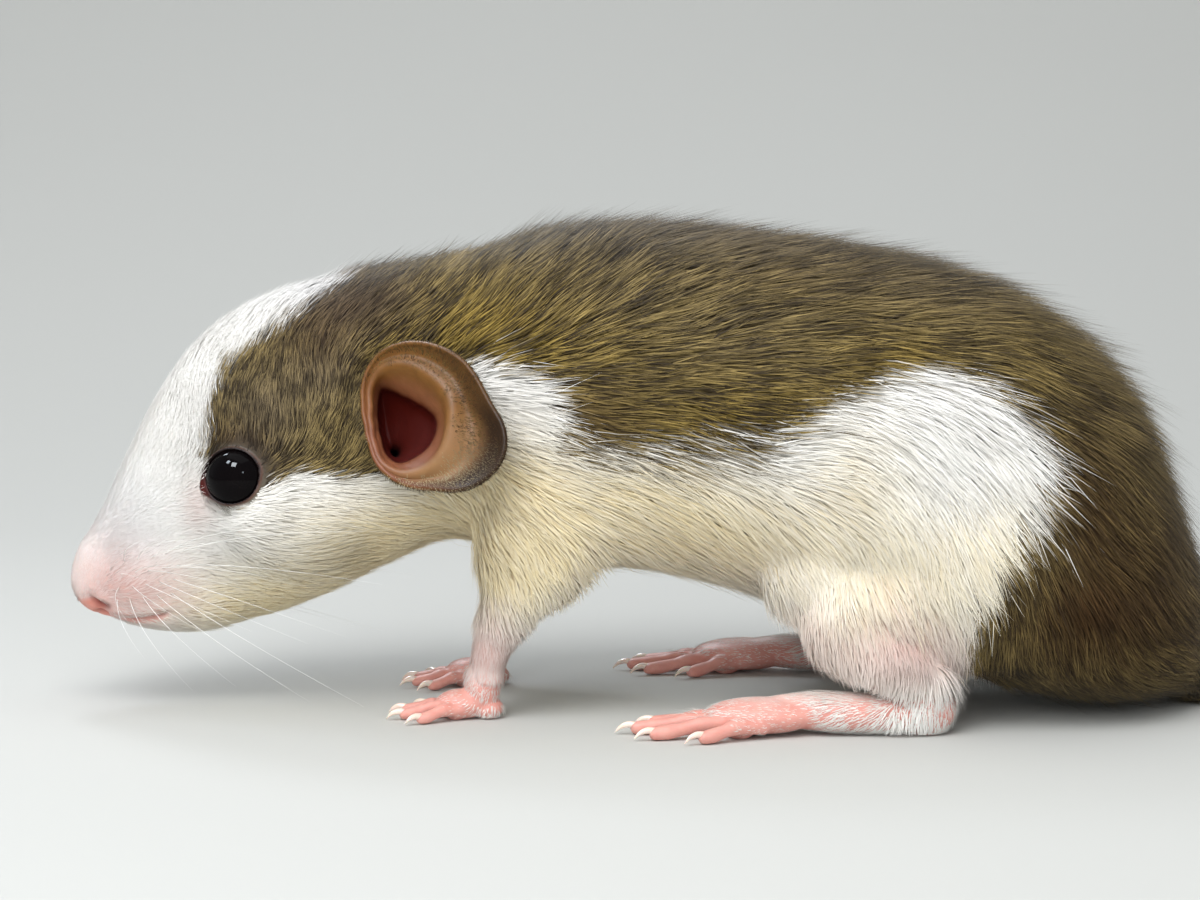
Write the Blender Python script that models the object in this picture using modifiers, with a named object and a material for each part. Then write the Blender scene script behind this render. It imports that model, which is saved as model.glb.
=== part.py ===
"""A hooded pet rat pup, about 24 days old, as a still life-size model standing on the floor.

The nose points along -X, the animal's left side is -Y and the floor is at z = 0. The trunk and head are
one loft through named stations, blended with the muscles of the limbs and then parted with thin cuts.
The surfaces are the tips of the coat. Lengths in the tables are in millimetres and are scaled by MM.
"""

import math
from typing import NamedTuple

import bmesh
import bpy
import numpy as np
from mathutils import Matrix, Vector

MM = 0.001
GAP = 0.3 * MM
SIDES = {"left": -1, "right": 1}

# Density of the blended surfaces
FLESH_VOXEL = 0.7 * MM
FLESH_SMOOTHING = 5
FLESH_TRIANGLES = 4750
FOOT_VOXEL = 0.3 * MM
FOOT_SMOOTHING = 2
FOOT_TRIANGLES = 420
LOFT_RINGS = 90
LOFT_SIDES = 48
LIMB_POINTS = 12
TOE_POINTS = 9


class Station(NamedTuple):
    """One cross-section of head and trunk, in mm: its highest and lowest points in the side view."""

    top_x: float
    top_z: float
    low_x: float
    low_z: float
    half_width: float
    widest: float  # level of the widest point, as a share of the height
    crest: float  # fullness above that level: 2 is an ellipse, less is a narrower ridge, more is squarer
    fullness: float  # the same below it


BODY = {
    "nose_tip": Station(-87.6, 12.8, -87.2, 10.6, 1.1, 0.50, 2.0, 2.0),
    "nose": Station(-87.0, 15.0, -85.7, 8.6, 2.3, 0.42, 2.0, 2.1),
    "lip": Station(-85.1, 17.9, -82.9, 7.5, 3.2, 0.38, 2.0, 2.2),
    "whisker_pad": Station(-82.6, 23.2, -79.4, 6.5, 4.2, 0.36, 2.0, 2.2),
    "muzzle_root": Station(-79.4, 29.2, -75.0, 6.9, 5.5, 0.38, 2.0, 2.2),
    "eyes": Station(-75.6, 34.0, -70.0, 8.0, 7.6, 0.44, 2.05, 2.2),
    "forehead": Station(-70.5, 37.4, -64.5, 9.9, 9.3, 0.46, 2.1, 2.2),
    "cheek": Station(-63.8, 39.8, -59.0, 12.6, 10.6, 0.46, 2.05, 2.2),
    "nape": Station(-56.5, 40.9, -54.2, 14.9, 10.7, 0.46, 2.1, 2.2),
    "neck": Station(-50.5, 41.9, -50.3, 15.0, 11.4, 0.45, 2.1, 2.2),
    "shoulder": Station(-44.0, 43.8, -45.0, 12.3, 13.3, 0.43, 2.1, 2.2),
    "rib": Station(-34.0, 44.5, -35.0, 12.6, 15.3, 0.42, 2.1, 2.2),
    "waist": Station(-22.0, 43.4, -23.0, 10.2, 17.2, 0.41, 2.1, 2.2),
    "loin": Station(-10.5, 41.5, -12.0, 6.0, 18.5, 0.40, 2.1, 2.2),
    "hip": Station(0.5, 37.6, -2.0, 2.2, 18.9, 0.39, 2.1, 2.2),
    "rump": Station(8.6, 30.7, 5.5, 0.7, 16.6, 0.38, 2.1, 2.2),
    "behind": Station(13.9, 20.5, 12.0, 0.7, 11.2, 0.38, 2.0, 2.1),
    "tail_root": Station(16.7, 10.5, 15.8, 0.8, 5.0, 0.40, 2.0, 2.0),
    "tail_core": Station(18.4, 6.4, 18.2, 1.2, 2.6, 0.50, 2.0, 2.0),
}
TAIL_CUT_X = 16.4 * MM

# Where the neck begins and ends: a point in the side view and the lean of the cut from upright, in degrees
HEAD_CUT = (-50.6 * MM, 28.0 * MM, 7.0)
NECK_CUT = (-45.4 * MM, 28.0 * MM, 14.0)

# Muscles and pads, for the left side and mirrored: centre, radii and forward lean in the side view
SWELLINGS = {
    "whisker_pad": ((-80.5, -2.6, 11.3), (4.5, 2.6, 4.0), -8.0),
    "jaw": ((-76.0, -1.6, 10.2), (6.5, 3.6, 3.6), -6.0),
    "cheek": ((-66.0, -5.6, 18.8), (8.0, 4.9, 6.4), -18.0),
    "brow": ((-71.0, -4.4, 25.0), (5.5, 3.5, 4.2), -30.0),
    "upper_arm": ((-44.2, -9.6, 17.5), (6.2, 4.2, 8.0), 16.0),
    "thigh": ((-5.0, -12.0, 17.0), (14.0, 7.3, 11.6), -20.0),
    "flank_fold": ((-18.5, -12.4, 14.8), (6.8, 3.8, 5.0), -28.0),
    "knee": ((-15.4, -14.6, 10.4), (6.2, 4.0, 5.2), -30.0),
}

# Limb tubes of the left side: points of the centre line and the radius at each
FOREARM = [
    (-44.6, -9.4, 14.5), (-46.8, -9.2, 10.5), (-48.2, -8.9, 7.0), (-48.9, -8.6, 3.6), (-49.0, -8.5, 1.8),
]
FOREARM_RADII = [4.4, 3.1, 2.1, 1.8, 1.8]
SHANK = [(-16.0, -15.3, 8.8), (-13.4, -15.6, 7.0), (-10.8, -15.6, 4.8), (-9.6, -15.6, 2.6)]
SHANK_RADII = [3.8, 3.6, 3.0, 2.6]
WRIST_Z = 3.2 * MM
ELBOW_Z = 11.8 * MM
ANKLE_Z = 3.8 * MM

# The spaces that hold the limb nodes of the left side: a box for the forearm, and ellipsoids by centre,
# radii and lean for the others
FOREARM_SPACE = ((-54.5, -15.0, 1.0), (-39.0, -4.0, ELBOW_Z / MM))
LIMB_SPACES = {
    "shank": ((-13.0, -19.0, 3.6), (10.5, 8.0, 5.8), 0.0),
    "upper_arm": ((-45.5, -15.5, 19.5), (7.6, 8.2, 10.5), 16.0),
    "thigh": ((-8.0, -20.5, 16.2), (20.5, 13.5, 14.6), -20.0),
}
LIMB_ORDER = ("forearm", "shank", "upper_arm", "thigh")


class Foot(NamedTuple):
    """A foot of the left side, in mm and degrees."""

    pads: tuple  # centre, radii and lean of each
    toe_root: tuple
    toes: int
    toe_length: float
    toe_taper: float  # how much shorter the outer toes are, as a share
    toe_spread: float
    toe_pitch: float  # from the middle of the foot to the root of the outer toes
    toe_setback: float  # how far back those roots lie
    toe_radius: float
    top: float


FEET = {
    "forefoot": Foot(
        pads=(
            ((-49.2, -8.5, 2.2), (1.9, 1.75, 2.0), 0.0),
            ((-51.2, -8.3, 1.15), (2.5, 2.0, 1.45), 0.0),
            ((-48.6, -8.4, 0.9), (1.7, 1.7, 1.2), 0.0),
        ),
        toe_root=(-52.4, -8.3, 0.0),
        toes=4,
        toe_length=4.1,
        toe_taper=0.14,
        toe_spread=30.0,
        toe_pitch=1.65,
        toe_setback=0.0,
        toe_radius=0.58,
        top=WRIST_Z,
    ),
    "hindfoot": Foot(
        pads=(
            ((-10.0, -15.5, 2.0), (3.0, 2.5, 2.5), 0.0),
            ((-17.0, -15.7, 1.7), (9.0, 2.6, 1.95), 2.0),
            ((-25.3, -16.2, 1.4), (4.4, 2.8, 1.7), 0.0),
        ),
        toe_root=(-27.6, -16.3, 0.0),
        toes=5,
        toe_length=7.8,
        toe_taper=0.36,
        toe_spread=25.0,
        toe_pitch=2.25,
        toe_setback=1.6,
        toe_radius=0.68,
        top=ANKLE_Z,
    ),
}
TOE_ARCH = 0.9  # how far back the outer toes' roots curve, in mm
CLAW_RADIUS = 0.32
CLAW_TAPER = (1.0, 0.8, 0.25)

# Head openings
EYE_PLACE = (-71.7, 21.9)
EYE_RADIUS = 3.1
EYE_SUNK = 1.75
EYE_AXIS = Vector((-0.30, -0.93, 0.20)).normalized()
LID_RADIUS = 2.75
LID_THICKNESS = 0.5
LID_SUNK = 0.25
LID_STEPS = 22
NOSTRIL = (-85.4, 2.0, 10.0)
NOSTRIL_AXIS = (-0.45, 0.85, -0.1)
NOSTRIL_RADII = (0.25, 0.45, 0.6)
NOSTRIL_DEPTH = 0.9
NOSTRIL_MOUTH = 1.5
MOUTH = [(-84.7, 8.6), (-83.0, 8.2), (-81.0, 8.2), (-79.4, 8.5), (-78.2, 9.0)]
MOUTH_GROOVE = 0.38
MOUTH_POINTS = 9
NOSE_BALL = ((-86.5, 0.0, 10.9), (2.6, 2.9, 2.6))

# Ear: the rim's centre, the ear's axis out of the head, its half sizes and its hollow
EAR_CENTRE = (-53.7, -13.5, 27.9)
EAR_AXIS = Vector((-0.44, -0.84, 0.28)).normalized()
EAR_LONG = 8.3
EAR_SHORT = 7.0
EAR_TURN = -34.0
EAR_THICKNESS = 0.6
EAR_RIM_ROLL = 0.3
EAR_DEPTH = 6.6
EAR_FLANGE = 0.18  # depth of the flat border inside the rim, as a share
EAR_EDGE = 0.72  # where the bowl begins, as a share of the way out
EAR_SLOPE = 0.55
EAR_BOWL_OFFSET = (-2.6, -1.6)
EAR_CORNERS = 0.055
EAR_RINGS = (0.14, 0.28, 0.42, 0.55, 0.68, 0.84, 1.0)
EAR_SEGMENTS = 24

# Tail, laid on the floor in an S
TAIL_PATH = [
    (15.0, 0.0), (23.0, 0.3), (33.0, 3.8), (44.0, 8.8), (55.5, 9.6), (66.0, 4.8), (76.5, -2.2), (86.9, -5.4),
]
TAIL_BASE_RADIUS = 2.55
TAIL_TIP_RADIUS = 0.75
TAIL_SINK = 0.93  # height of the centre line over the radius: the rest is the flat underside
TAIL_RISE = 1.6
TAIL_RISE_REACH = 0.05  # share of the tail over which it comes down to the floor
TAIL_TAPER = 0.85
TAIL_POINTS = 45
TAIL_PARTS = {"tail_base": (0.0, 0.34), "tail_middle": (0.34, 0.68), "tail_tip": (0.68, 1.0)}

COLOURS = {
    "fur": (0.62, 0.58, 0.49, 0.75),
    "agouti": (0.16, 0.13, 0.08, 0.8),
    "skin": (0.78, 0.42, 0.36, 0.55),
    "ear": (0.46, 0.26, 0.17, 0.6),
    "eye": (0.004, 0.003, 0.004, 0.08),
}


# Small helpers


def clear_scene():
    for obj in list(bpy.data.objects):
        bpy.data.objects.remove(obj, do_unlink=True)


def named_collection(name):
    collection = bpy.data.collections.new(name)
    bpy.context.scene.collection.children.link(collection)
    return collection


def place(triple, side=-1):
    """A point of a table in metres, on the animal's left side (-1) or mirrored to its right (1)."""
    return Vector((triple[0] * MM, -side * triple[1] * MM, triple[2] * MM))


def new_object(name, mesh, collection):
    obj = bpy.data.objects.new(name, mesh)
    collection.objects.link(obj)
    return obj


def mesh_from(bm, name):
    bmesh.ops.recalc_face_normals(bm, faces=bm.faces)
    mesh = bpy.data.meshes.new(name)
    bm.to_mesh(mesh)
    bm.free()
    return mesh


def apply_modifiers(obj):
    graph = bpy.context.evaluated_depsgraph_get()
    mesh = bpy.data.meshes.new_from_object(obj.evaluated_get(graph))
    obj.modifiers.clear()
    old = obj.data
    obj.data = mesh
    bpy.data.meshes.remove(old)


def copy_of(obj, name):
    twin = obj.copy()
    twin.data = obj.data.copy()
    twin.name = name
    obj.users_collection[0].objects.link(twin)
    return twin


def boolean(obj, operation, cutters, solver="EXACT"):
    """Apply one Boolean with each cutter in turn, and remove the cutters."""
    for cutter in cutters:
        cutter.hide_render = True
        cutter.display_type = "WIRE"
        modifier = obj.modifiers.new(operation.lower(), "BOOLEAN")
        modifier.operation = operation
        modifier.solver = solver
        modifier.object = cutter
        apply_modifiers(obj)
        bpy.data.objects.remove(cutter, do_unlink=True)


def keep_largest(obj):
    """Keep only the biggest closed surface of the mesh."""
    bm = bmesh.new()
    bm.from_mesh(obj.data)
    bm.verts.ensure_lookup_table()
    left = set(bm.verts)
    groups = []
    while left:
        stack = [left.pop()]
        group = set(stack)
        while stack:
            vert = stack.pop()
            for edge in vert.link_edges:
                other = edge.other_vert(vert)
                if other not in group:
                    group.add(other)
                    stack.append(other)
        left -= group
        groups.append(group)
    groups.sort(key=len)
    for group in groups[:-1]:
        bmesh.ops.delete(bm, geom=list(group), context="VERTS")
    bm.to_mesh(obj.data)
    bm.free()


def slice_off(obj, point, normal):
    """Cut the solid with a plane, keep the side that the normal points away from, and close the cut."""
    bm = bmesh.new()
    bm.from_mesh(obj.data)
    geometry = list(bm.verts) + list(bm.edges) + list(bm.faces)
    cut = bmesh.ops.bisect_plane(
        bm, geom=geometry, dist=1e-7, plane_co=point, plane_no=normal, clear_outer=True
    )
    edges = [item for item in cut["geom_cut"] if isinstance(item, bmesh.types.BMEdge)]
    bmesh.ops.holes_fill(bm, edges=edges, sides=0)
    bmesh.ops.recalc_face_normals(bm, faces=bm.faces)
    bm.to_mesh(obj.data)
    bm.free()


def smooth_rows(rows, count):
    """Catmull-Rom rows through the given ones, evenly spaced by their order."""
    rows = np.asarray(rows, float)
    padded = np.vstack([2 * rows[0] - rows[1], rows, 2 * rows[-1] - rows[-2]])
    out = []
    for value in np.linspace(0, len(rows) - 1, count):
        index = min(int(value), len(rows) - 2)
        t = value - index
        a, b, c, d = padded[index : index + 4]
        out.append(
            0.5 * (2 * b + (c - a) * t + (2 * a - 5 * b + 4 * c - d) * t**2 + (3 * b - a - 3 * c + d) * t**3)
        )
    return np.array(out)


def bridge_rings(bm, rings):
    """Closed rings of vertices joined by quads, with a flat cap at each end."""
    for first, second in zip(rings, rings[1:]):
        for i in range(len(first)):
            j = (i + 1) % len(first)
            bm.faces.new((first[i], first[j], second[j], second[i]))
    bm.faces.new(rings[0])
    bm.faces.new(rings[-1])


def ellipsoid(name, centre, radii, collection, lean=0.0, subdivisions=3):
    """An ellipsoid in metres, leaning forward in the side view by degrees."""
    bm = bmesh.new()
    bmesh.ops.create_icosphere(bm, subdivisions=subdivisions, radius=1.0)
    turn = Matrix.Rotation(math.radians(lean), 4, "Y")
    size = Matrix.Diagonal((*radii, 1.0))
    bmesh.ops.transform(bm, matrix=Matrix.Translation(centre) @ turn @ size, verts=bm.verts)
    return new_object(name, mesh_from(bm, name), collection)


def tube(name, points, radii, collection, resolution=6, round_end=False):
    """A round tube in metres whose radius changes along it, as a closed mesh made from a curve."""
    curve = bpy.data.curves.new(name, "CURVE")
    curve.dimensions = "3D"
    curve.bevel_depth = 1.0
    curve.bevel_resolution = resolution
    curve.use_fill_caps = True
    points = [Vector(point) for point in points]
    radii = list(radii)
    if round_end:
        ahead = (points[-1] - points[-2]).normalized()
        last = radii[-1]
        tip = points[-1].copy()
        for angle in (30, 55, 75, 87):
            points.append(tip + ahead * last * math.sin(math.radians(angle)))
            radii.append(last * math.cos(math.radians(angle)))
    spline = curve.splines.new("POLY")
    spline.points.add(len(points) - 1)
    for knot, point, radius in zip(spline.points, points, radii):
        knot.co = (*point, 1.0)
        knot.radius = radius
    line = new_object(name + "_line", curve, collection)
    graph = bpy.context.evaluated_depsgraph_get()
    mesh = bpy.data.meshes.new_from_object(line.evaluated_get(graph))
    bm = bmesh.new()
    bm.from_mesh(mesh)
    bmesh.ops.remove_doubles(bm, verts=bm.verts, dist=1e-6)
    bpy.data.objects.remove(line, do_unlink=True)
    bpy.data.meshes.remove(mesh)
    return new_object(name, mesh_from(bm, name), collection)


def box(name, low, high, collection):
    bm = bmesh.new()
    bmesh.ops.create_cube(bm, size=1.0)
    low, high = Vector(low), Vector(high)
    size = Matrix.Diagonal((*(high - low), 1.0))
    bmesh.ops.transform(bm, matrix=Matrix.Translation((low + high) / 2) @ size, verts=bm.verts)
    return new_object(name, mesh_from(bm, name), collection)


def join(name, objects, collection):
    """One mesh of several closed ones, not yet united."""
    bm = bmesh.new()
    for obj in objects:
        bm.from_mesh(obj.data)
        bpy.data.objects.remove(obj, do_unlink=True)
    mesh = bpy.data.meshes.new(name)
    bm.to_mesh(mesh)
    bm.free()
    return new_object(name, mesh, collection)


def blend(obj, voxel, smoothing, triangles):
    """Fuse the overlapping pieces of a mesh into one smooth skin with about the given triangles."""
    remesh = obj.modifiers.new("fuse", "REMESH")
    remesh.mode = "VOXEL"
    remesh.voxel_size = voxel
    smooth = obj.modifiers.new("soften", "SMOOTH")
    smooth.factor = 0.5
    smooth.iterations = smoothing
    apply_modifiers(obj)
    full = sum(len(face.vertices) - 2 for face in obj.data.polygons)
    fewer = obj.modifiers.new("fewer", "DECIMATE")
    fewer.ratio = triangles / full
    apply_modifiers(obj)
    keep_largest(obj)


def finish(obj, name, colour, collection):
    """Name the node, give it its material and smooth shading, and put it with the parts."""
    obj.name = name
    obj.data.name = name
    material = bpy.data.materials.get(colour) or bpy.data.materials.new(colour)
    material.use_nodes = True
    shader = material.node_tree.nodes["Principled BSDF"]
    red, green, blue, rough = COLOURS[colour]
    shader.inputs["Base Color"].default_value = (red, green, blue, 1.0)
    shader.inputs["Roughness"].default_value = rough
    material.diffuse_color = (red, green, blue, 1.0)
    obj.data.materials.clear()
    obj.data.materials.append(material)
    obj.data.shade_smooth()
    obj.data.set_sharp_from_angle(angle=math.radians(50))
    for other in list(obj.users_collection):
        other.objects.unlink(obj)
    collection.objects.link(obj)


# Head and trunk


def section(row, angles):
    """Points of one cross-section: a superellipse between the top and the low point."""
    station = Station(*row)
    top = np.array((station.top_x, 0.0, station.top_z))
    low = np.array((station.low_x, 0.0, station.low_z))
    middle = low + (top - low) * station.widest
    points = []
    for angle in angles:
        above = math.sin(angle) > 0
        power = 2 / (station.crest if above else station.fullness)
        up = math.copysign(abs(math.sin(angle)) ** power, math.sin(angle))
        out = math.copysign(abs(math.cos(angle)) ** power, math.cos(angle))
        reach = (top - middle) if above else (middle - low)
        points.append(middle + reach * up + np.array((0.0, out * station.half_width, 0.0)))
    return np.array(points) * MM


def body_loft(collection):
    rows = smooth_rows([tuple(station) for station in BODY.values()], LOFT_RINGS)
    angles = np.linspace(0, 2 * math.pi, LOFT_SIDES, endpoint=False)
    bm = bmesh.new()
    rings = [[bm.verts.new(point) for point in section(row, angles)] for row in rows]
    bridge_rings(bm, rings)
    return new_object("loft", mesh_from(bm, "loft"), collection)


def flesh_mass(collection):
    """Head, trunk and limbs down to wrists and heels as one blended surface."""
    pieces = [body_loft(collection)]
    for side in SIDES.values():
        for name, (centre, radii, lean) in SWELLINGS.items():
            size = [radius * MM for radius in radii]
            pieces.append(ellipsoid(name, place(centre, side), size, collection, lean))
        for name, path, radii in (("forearm", FOREARM, FOREARM_RADII), ("shank", SHANK, SHANK_RADII)):
            path = smooth_rows([place(point, side) for point in path], LIMB_POINTS)
            radii = smooth_rows([[radius * MM] for radius in radii], LIMB_POINTS)[:, 0]
            pieces.append(tube(name, path, radii, collection))
    flesh = join("flesh", pieces, collection)
    blend(flesh, FLESH_VOXEL, FLESH_SMOOTHING, FLESH_TRIANGLES)
    return flesh


# Parting the flesh into named nodes


def leaning_plane(cut, offset=0.0):
    """A point on the cut and its normal, which points to the rear."""
    x, z, lean = cut
    normal = Vector((math.cos(math.radians(lean)), 0.0, math.sin(math.radians(lean))))
    return Vector((x, 0.0, z)) + normal * offset, normal


def limb_space(limb, side, grow, collection):
    """The space that holds a limb's node, grown by a gap when it cuts the limb's neighbours."""
    if limb == "forearm":
        corners = [place(corner, side) for corner in FOREARM_SPACE]
        low = [min(pair) - grow for pair in zip(*corners)]
        high = [max(pair) + grow for pair in zip(*corners)]
        return box("space", low, high, collection)
    centre, radii, lean = LIMB_SPACES[limb]
    grown = [radius * MM + grow for radius in radii]
    return ellipsoid("space", place(centre, side), grown, collection, lean)


def part_flesh(flesh, work):
    """Cut the flesh into nose, head, neck, torso and the limb nodes, 0.3 mm apart."""
    nodes = {}
    for side_name, side in SIDES.items():
        for limb in LIMB_ORDER:
            piece = copy_of(flesh, limb)
            boolean(piece, "INTERSECT", [limb_space(limb, side, 0.0, work)])
            boolean(flesh, "DIFFERENCE", [limb_space(limb, side, GAP, work)])
            keep_largest(piece)
            nodes[f"{limb}_{side_name}"] = piece
    keep_largest(flesh)
    slice_off(flesh, Vector((TAIL_CUT_X, 0, 0)), Vector((1, 0, 0)))
    torso = copy_of(flesh, "torso")
    neck = copy_of(flesh, "neck")
    point, normal = leaning_plane(NECK_CUT, GAP / 2)
    slice_off(torso, point, -normal)
    point, normal = leaning_plane(NECK_CUT, -GAP / 2)
    slice_off(neck, point, normal)
    point, normal = leaning_plane(HEAD_CUT, GAP / 2)
    slice_off(neck, point, -normal)
    point, normal = leaning_plane(HEAD_CUT, -GAP / 2)
    slice_off(flesh, point, normal)
    nodes["torso"] = torso
    nodes["neck"] = neck
    nodes["head"] = flesh
    return nodes


# Head details


def surface_point(obj, x, z, side):
    """Where a line across the body at (x, z) meets the surface on one side."""
    start = Vector((x, side * 40 * MM, z))
    hit, point, normal, _ = obj.ray_cast(start, Vector((0, -side, 0)))
    if not hit:
        raise ValueError(f"no surface at x {x / MM:.1f}, z {z / MM:.1f}")
    return point


def eye_centre(head, side):
    point = surface_point(head, EYE_PLACE[0] * MM, EYE_PLACE[1] * MM, side)
    return point - mirrored(EYE_AXIS, side) * EYE_SUNK * MM


def mirrored(axis, side):
    return Vector((axis.x, -side * axis.y, axis.z))


def lid_ring(head, side, collection):
    """The rim of the lids, a ring round the eye's opening."""
    centre = eye_centre(head, side) + mirrored(EYE_AXIS, side) * (EYE_SUNK - LID_SUNK) * MM
    turn = mirrored(EYE_AXIS, side).to_track_quat("Z", "Y").to_matrix().to_4x4()
    points = []
    for i in range(LID_STEPS):
        angle = 2 * math.pi * i / LID_STEPS
        spot = Vector((math.cos(angle), math.sin(angle), 0)) * LID_RADIUS * MM
        points.append(Matrix.Translation(centre) @ turn @ spot)
    curve = bpy.data.curves.new("lid", "CURVE")
    curve.dimensions = "3D"
    curve.bevel_depth = LID_THICKNESS * MM
    curve.bevel_resolution = 2
    spline = curve.splines.new("POLY")
    spline.points.add(LID_STEPS - 1)
    spline.use_cyclic_u = True
    for knot, point in zip(spline.points, points):
        knot.co = (*point, 1.0)
    line = new_object("lid_line", curve, collection)
    graph = bpy.context.evaluated_depsgraph_get()
    mesh = bpy.data.meshes.new_from_object(line.evaluated_get(graph))
    bpy.data.objects.remove(line, do_unlink=True)
    return new_object("lid", mesh, collection)


def mouth_groove(head, collection):
    """The line of the mouth, from one corner round under the nose to the other."""
    path = smooth_rows(MOUTH, MOUTH_POINTS) * MM
    left = [surface_point(head, x, z, -1) for x, z in path]
    right = [surface_point(head, x, z, 1) for x, z in path]
    points = left[::-1] + right
    return tube("mouth", points, [MOUTH_GROOVE * MM] * len(points), collection, 2)


def nose_details(flesh, work):
    """Split off the nose and cut its nostrils."""
    centre, radii = NOSE_BALL
    nose = copy_of(flesh, "nose")
    size = [radius * MM for radius in radii]
    boolean(nose, "INTERSECT", [ellipsoid("ball", place(centre), size, work)])
    grown = [radius + GAP for radius in size]
    boolean(flesh, "DIFFERENCE", [ellipsoid("ball", place(centre), grown, work)])
    for side in SIDES.values():
        spot = Vector((NOSTRIL[0], side * NOSTRIL[1], NOSTRIL[2])) * MM
        outward = Vector((NOSTRIL_AXIS[0], side * NOSTRIL_AXIS[1], NOSTRIL_AXIS[2])).normalized()
        points = [spot - outward * NOSTRIL_DEPTH * MM, spot, spot + outward * NOSTRIL_MOUTH * MM]
        radii = [radius * MM for radius in NOSTRIL_RADII]
        boolean(nose, "DIFFERENCE", [tube("nostril", points, radii, work, 2)])
    keep_largest(nose)
    return nose


# Ears


def ear_frame(side):
    """The ear's rear, up and out directions."""
    out = mirrored(EAR_AXIS, side)
    rear = Vector((1.0, 0.0, 0.0))
    rear = (rear - out * rear.dot(out)).normalized()
    up = rear.cross(out) * side
    return rear, up, out


def ear_profile(share):
    """Depth of the ear's inside below its rim, from 0 at the rim to 1 in the canal."""
    edge = min(max((EAR_EDGE - share) / EAR_SLOPE, 0.0), 1.0)
    return EAR_FLANGE * (1 - share) + (1 - EAR_FLANGE) * edge * edge * (3 - 2 * edge)


def ear_point(share, angle, side):
    rear, up, out = ear_frame(side)
    turn = math.radians(EAR_TURN)
    swell = 1 + EAR_CORNERS * math.cos(3 * angle)
    along, across = EAR_LONG * swell * math.cos(angle), EAR_SHORT * swell * math.sin(angle)
    u = along * math.cos(turn) - across * math.sin(turn)
    v = along * math.sin(turn) + across * math.cos(turn)
    shift = (1 - share) ** 0.8
    u = u * share + EAR_BOWL_OFFSET[0] * shift
    v = v * share + EAR_BOWL_OFFSET[1] * shift
    depth = EAR_DEPTH * ear_profile(share)
    return place(EAR_CENTRE, side) + (rear * u + up * v - out * depth) * MM


def ear_grids(side, inward, outward):
    """Rings of the ear's inner and outer faces, as arrays of points offset from its middle surface."""
    angles = np.linspace(0, 2 * math.pi, EAR_SEGMENTS, endpoint=False)
    middle = np.array([[ear_point(share, angle, side) for angle in angles] for share in EAR_RINGS])
    around = np.roll(middle, -1, axis=1) - np.roll(middle, 1, axis=1)
    along = np.gradient(middle, axis=0)
    normals = np.cross(around, along)
    normals /= np.linalg.norm(normals, axis=2)[..., None]
    out = np.array(ear_frame(side)[2])
    normals *= np.sign(normals @ out)[..., None]
    return middle + normals * inward, middle - normals * outward, out


def widened(ring, by):
    """A ring of points moved out from its centre by a distance."""
    outward = ring - ring.mean(axis=0)
    return ring + outward / np.linalg.norm(outward, axis=1)[:, None] * by


def ear_shell(side, collection):
    """The pinna: a thin cup, closed round its rim."""
    half = EAR_THICKNESS / 2 * MM
    inner, outer, _ = ear_grids(side, half, half)
    rim = widened((inner[-1] + outer[-1]) / 2, EAR_RIM_ROLL * MM)
    bm = bmesh.new()
    rows = list(inner) + [rim] + list(outer[::-1])
    rings = [[bm.verts.new(point) for point in row] for row in rows]
    bridge_rings(bm, rings)
    return new_object("ear", mesh_from(bm, "ear"), collection)


def ear_socket(side, collection):
    """The space the ear takes out of the head: its outer face grown by the gap and closed above the rim."""
    _, outer, out = ear_grids(side, 0.0, EAR_THICKNESS / 2 * MM + GAP)
    outer[0] -= out * 2 * GAP
    rim = widened(outer[-1], EAR_RIM_ROLL * MM + GAP)
    rows = list(outer) + [rim - out * GAP, rim + out * 5 * MM]
    bm = bmesh.new()
    rings = [[bm.verts.new(point) for point in row] for row in rows]
    bridge_rings(bm, rings)
    return new_object("socket", mesh_from(bm, "socket"), collection)


# Feet


def toe_fan(spec, side):
    """Root, direction and length of each toe of a foot that points along -X."""
    toes = []
    for i in range(spec.toes):
        across = 2 * i / (spec.toes - 1) - 1
        heading = math.radians(180 - spec.toe_spread * across)
        reach = spec.toe_length * (1 - spec.toe_taper * across * across) * MM
        back = TOE_ARCH * abs(across) ** 1.5 + spec.toe_setback * across * across
        start = place(spec.toe_root, side) + Vector((back, spec.toe_pitch * across, 0)) * MM
        toes.append((start, heading, reach))
    return toes


def toe_pieces(start, heading, reach, r, collection):
    """One toe of radius r with its knuckle raised, and its claw."""
    ahead = Vector((math.cos(heading), math.sin(heading), 0))
    up = Vector((0, 0, 1))
    points = [
        start + up * 1.5 * r,
        start + ahead * 0.42 * reach + up * 1.75 * r,
        start + ahead * 0.78 * reach + up * 1.15 * r,
        start + ahead * reach + up * 0.85 * r,
    ]
    radii = smooth_rows([[1.15 * r], [r], [0.95 * r], [0.85 * r]], TOE_POINTS)[:, 0]
    toe = tube("toe", smooth_rows(points, TOE_POINTS), radii, collection, 4, round_end=True)
    tip = points[-1] + ahead * 0.3 * r
    hook = [
        tip + up * 0.35 * r,
        tip + ahead * 1.5 * r + up * 0.30 * r,
        tip + ahead * 2.6 * r - up * 0.35 * r,
    ]
    claw = tube("claw", hook, [CLAW_RADIUS * MM * width for width in CLAW_TAPER], collection, 1)
    return toe, claw


def foot(spec, side, work):
    """A foot: pads and toes blended, claws joined, a flat sole and a flat top where the leg meets it."""
    pieces = []
    for centre, radii, lean in spec.pads:
        pieces.append(ellipsoid("pad", place(centre, side), [radius * MM for radius in radii], work, lean))
    claws = []
    for start, heading, reach in toe_fan(spec, side):
        toe, claw = toe_pieces(start, heading, reach, spec.toe_radius * MM, work)
        pieces.append(toe)
        claws.append(claw)
    body = join("foot", pieces, work)
    blend(body, FOOT_VOXEL, FOOT_SMOOTHING, FOOT_TRIANGLES)
    boolean(body, "UNION", claws)
    slice_off(body, Vector((0, 0, 0)), Vector((0, 0, -1)))
    slice_off(body, Vector((0, 0, spec.top - GAP)), Vector((0, 0, 1)))
    keep_largest(body)
    return body


# Tail


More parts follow.
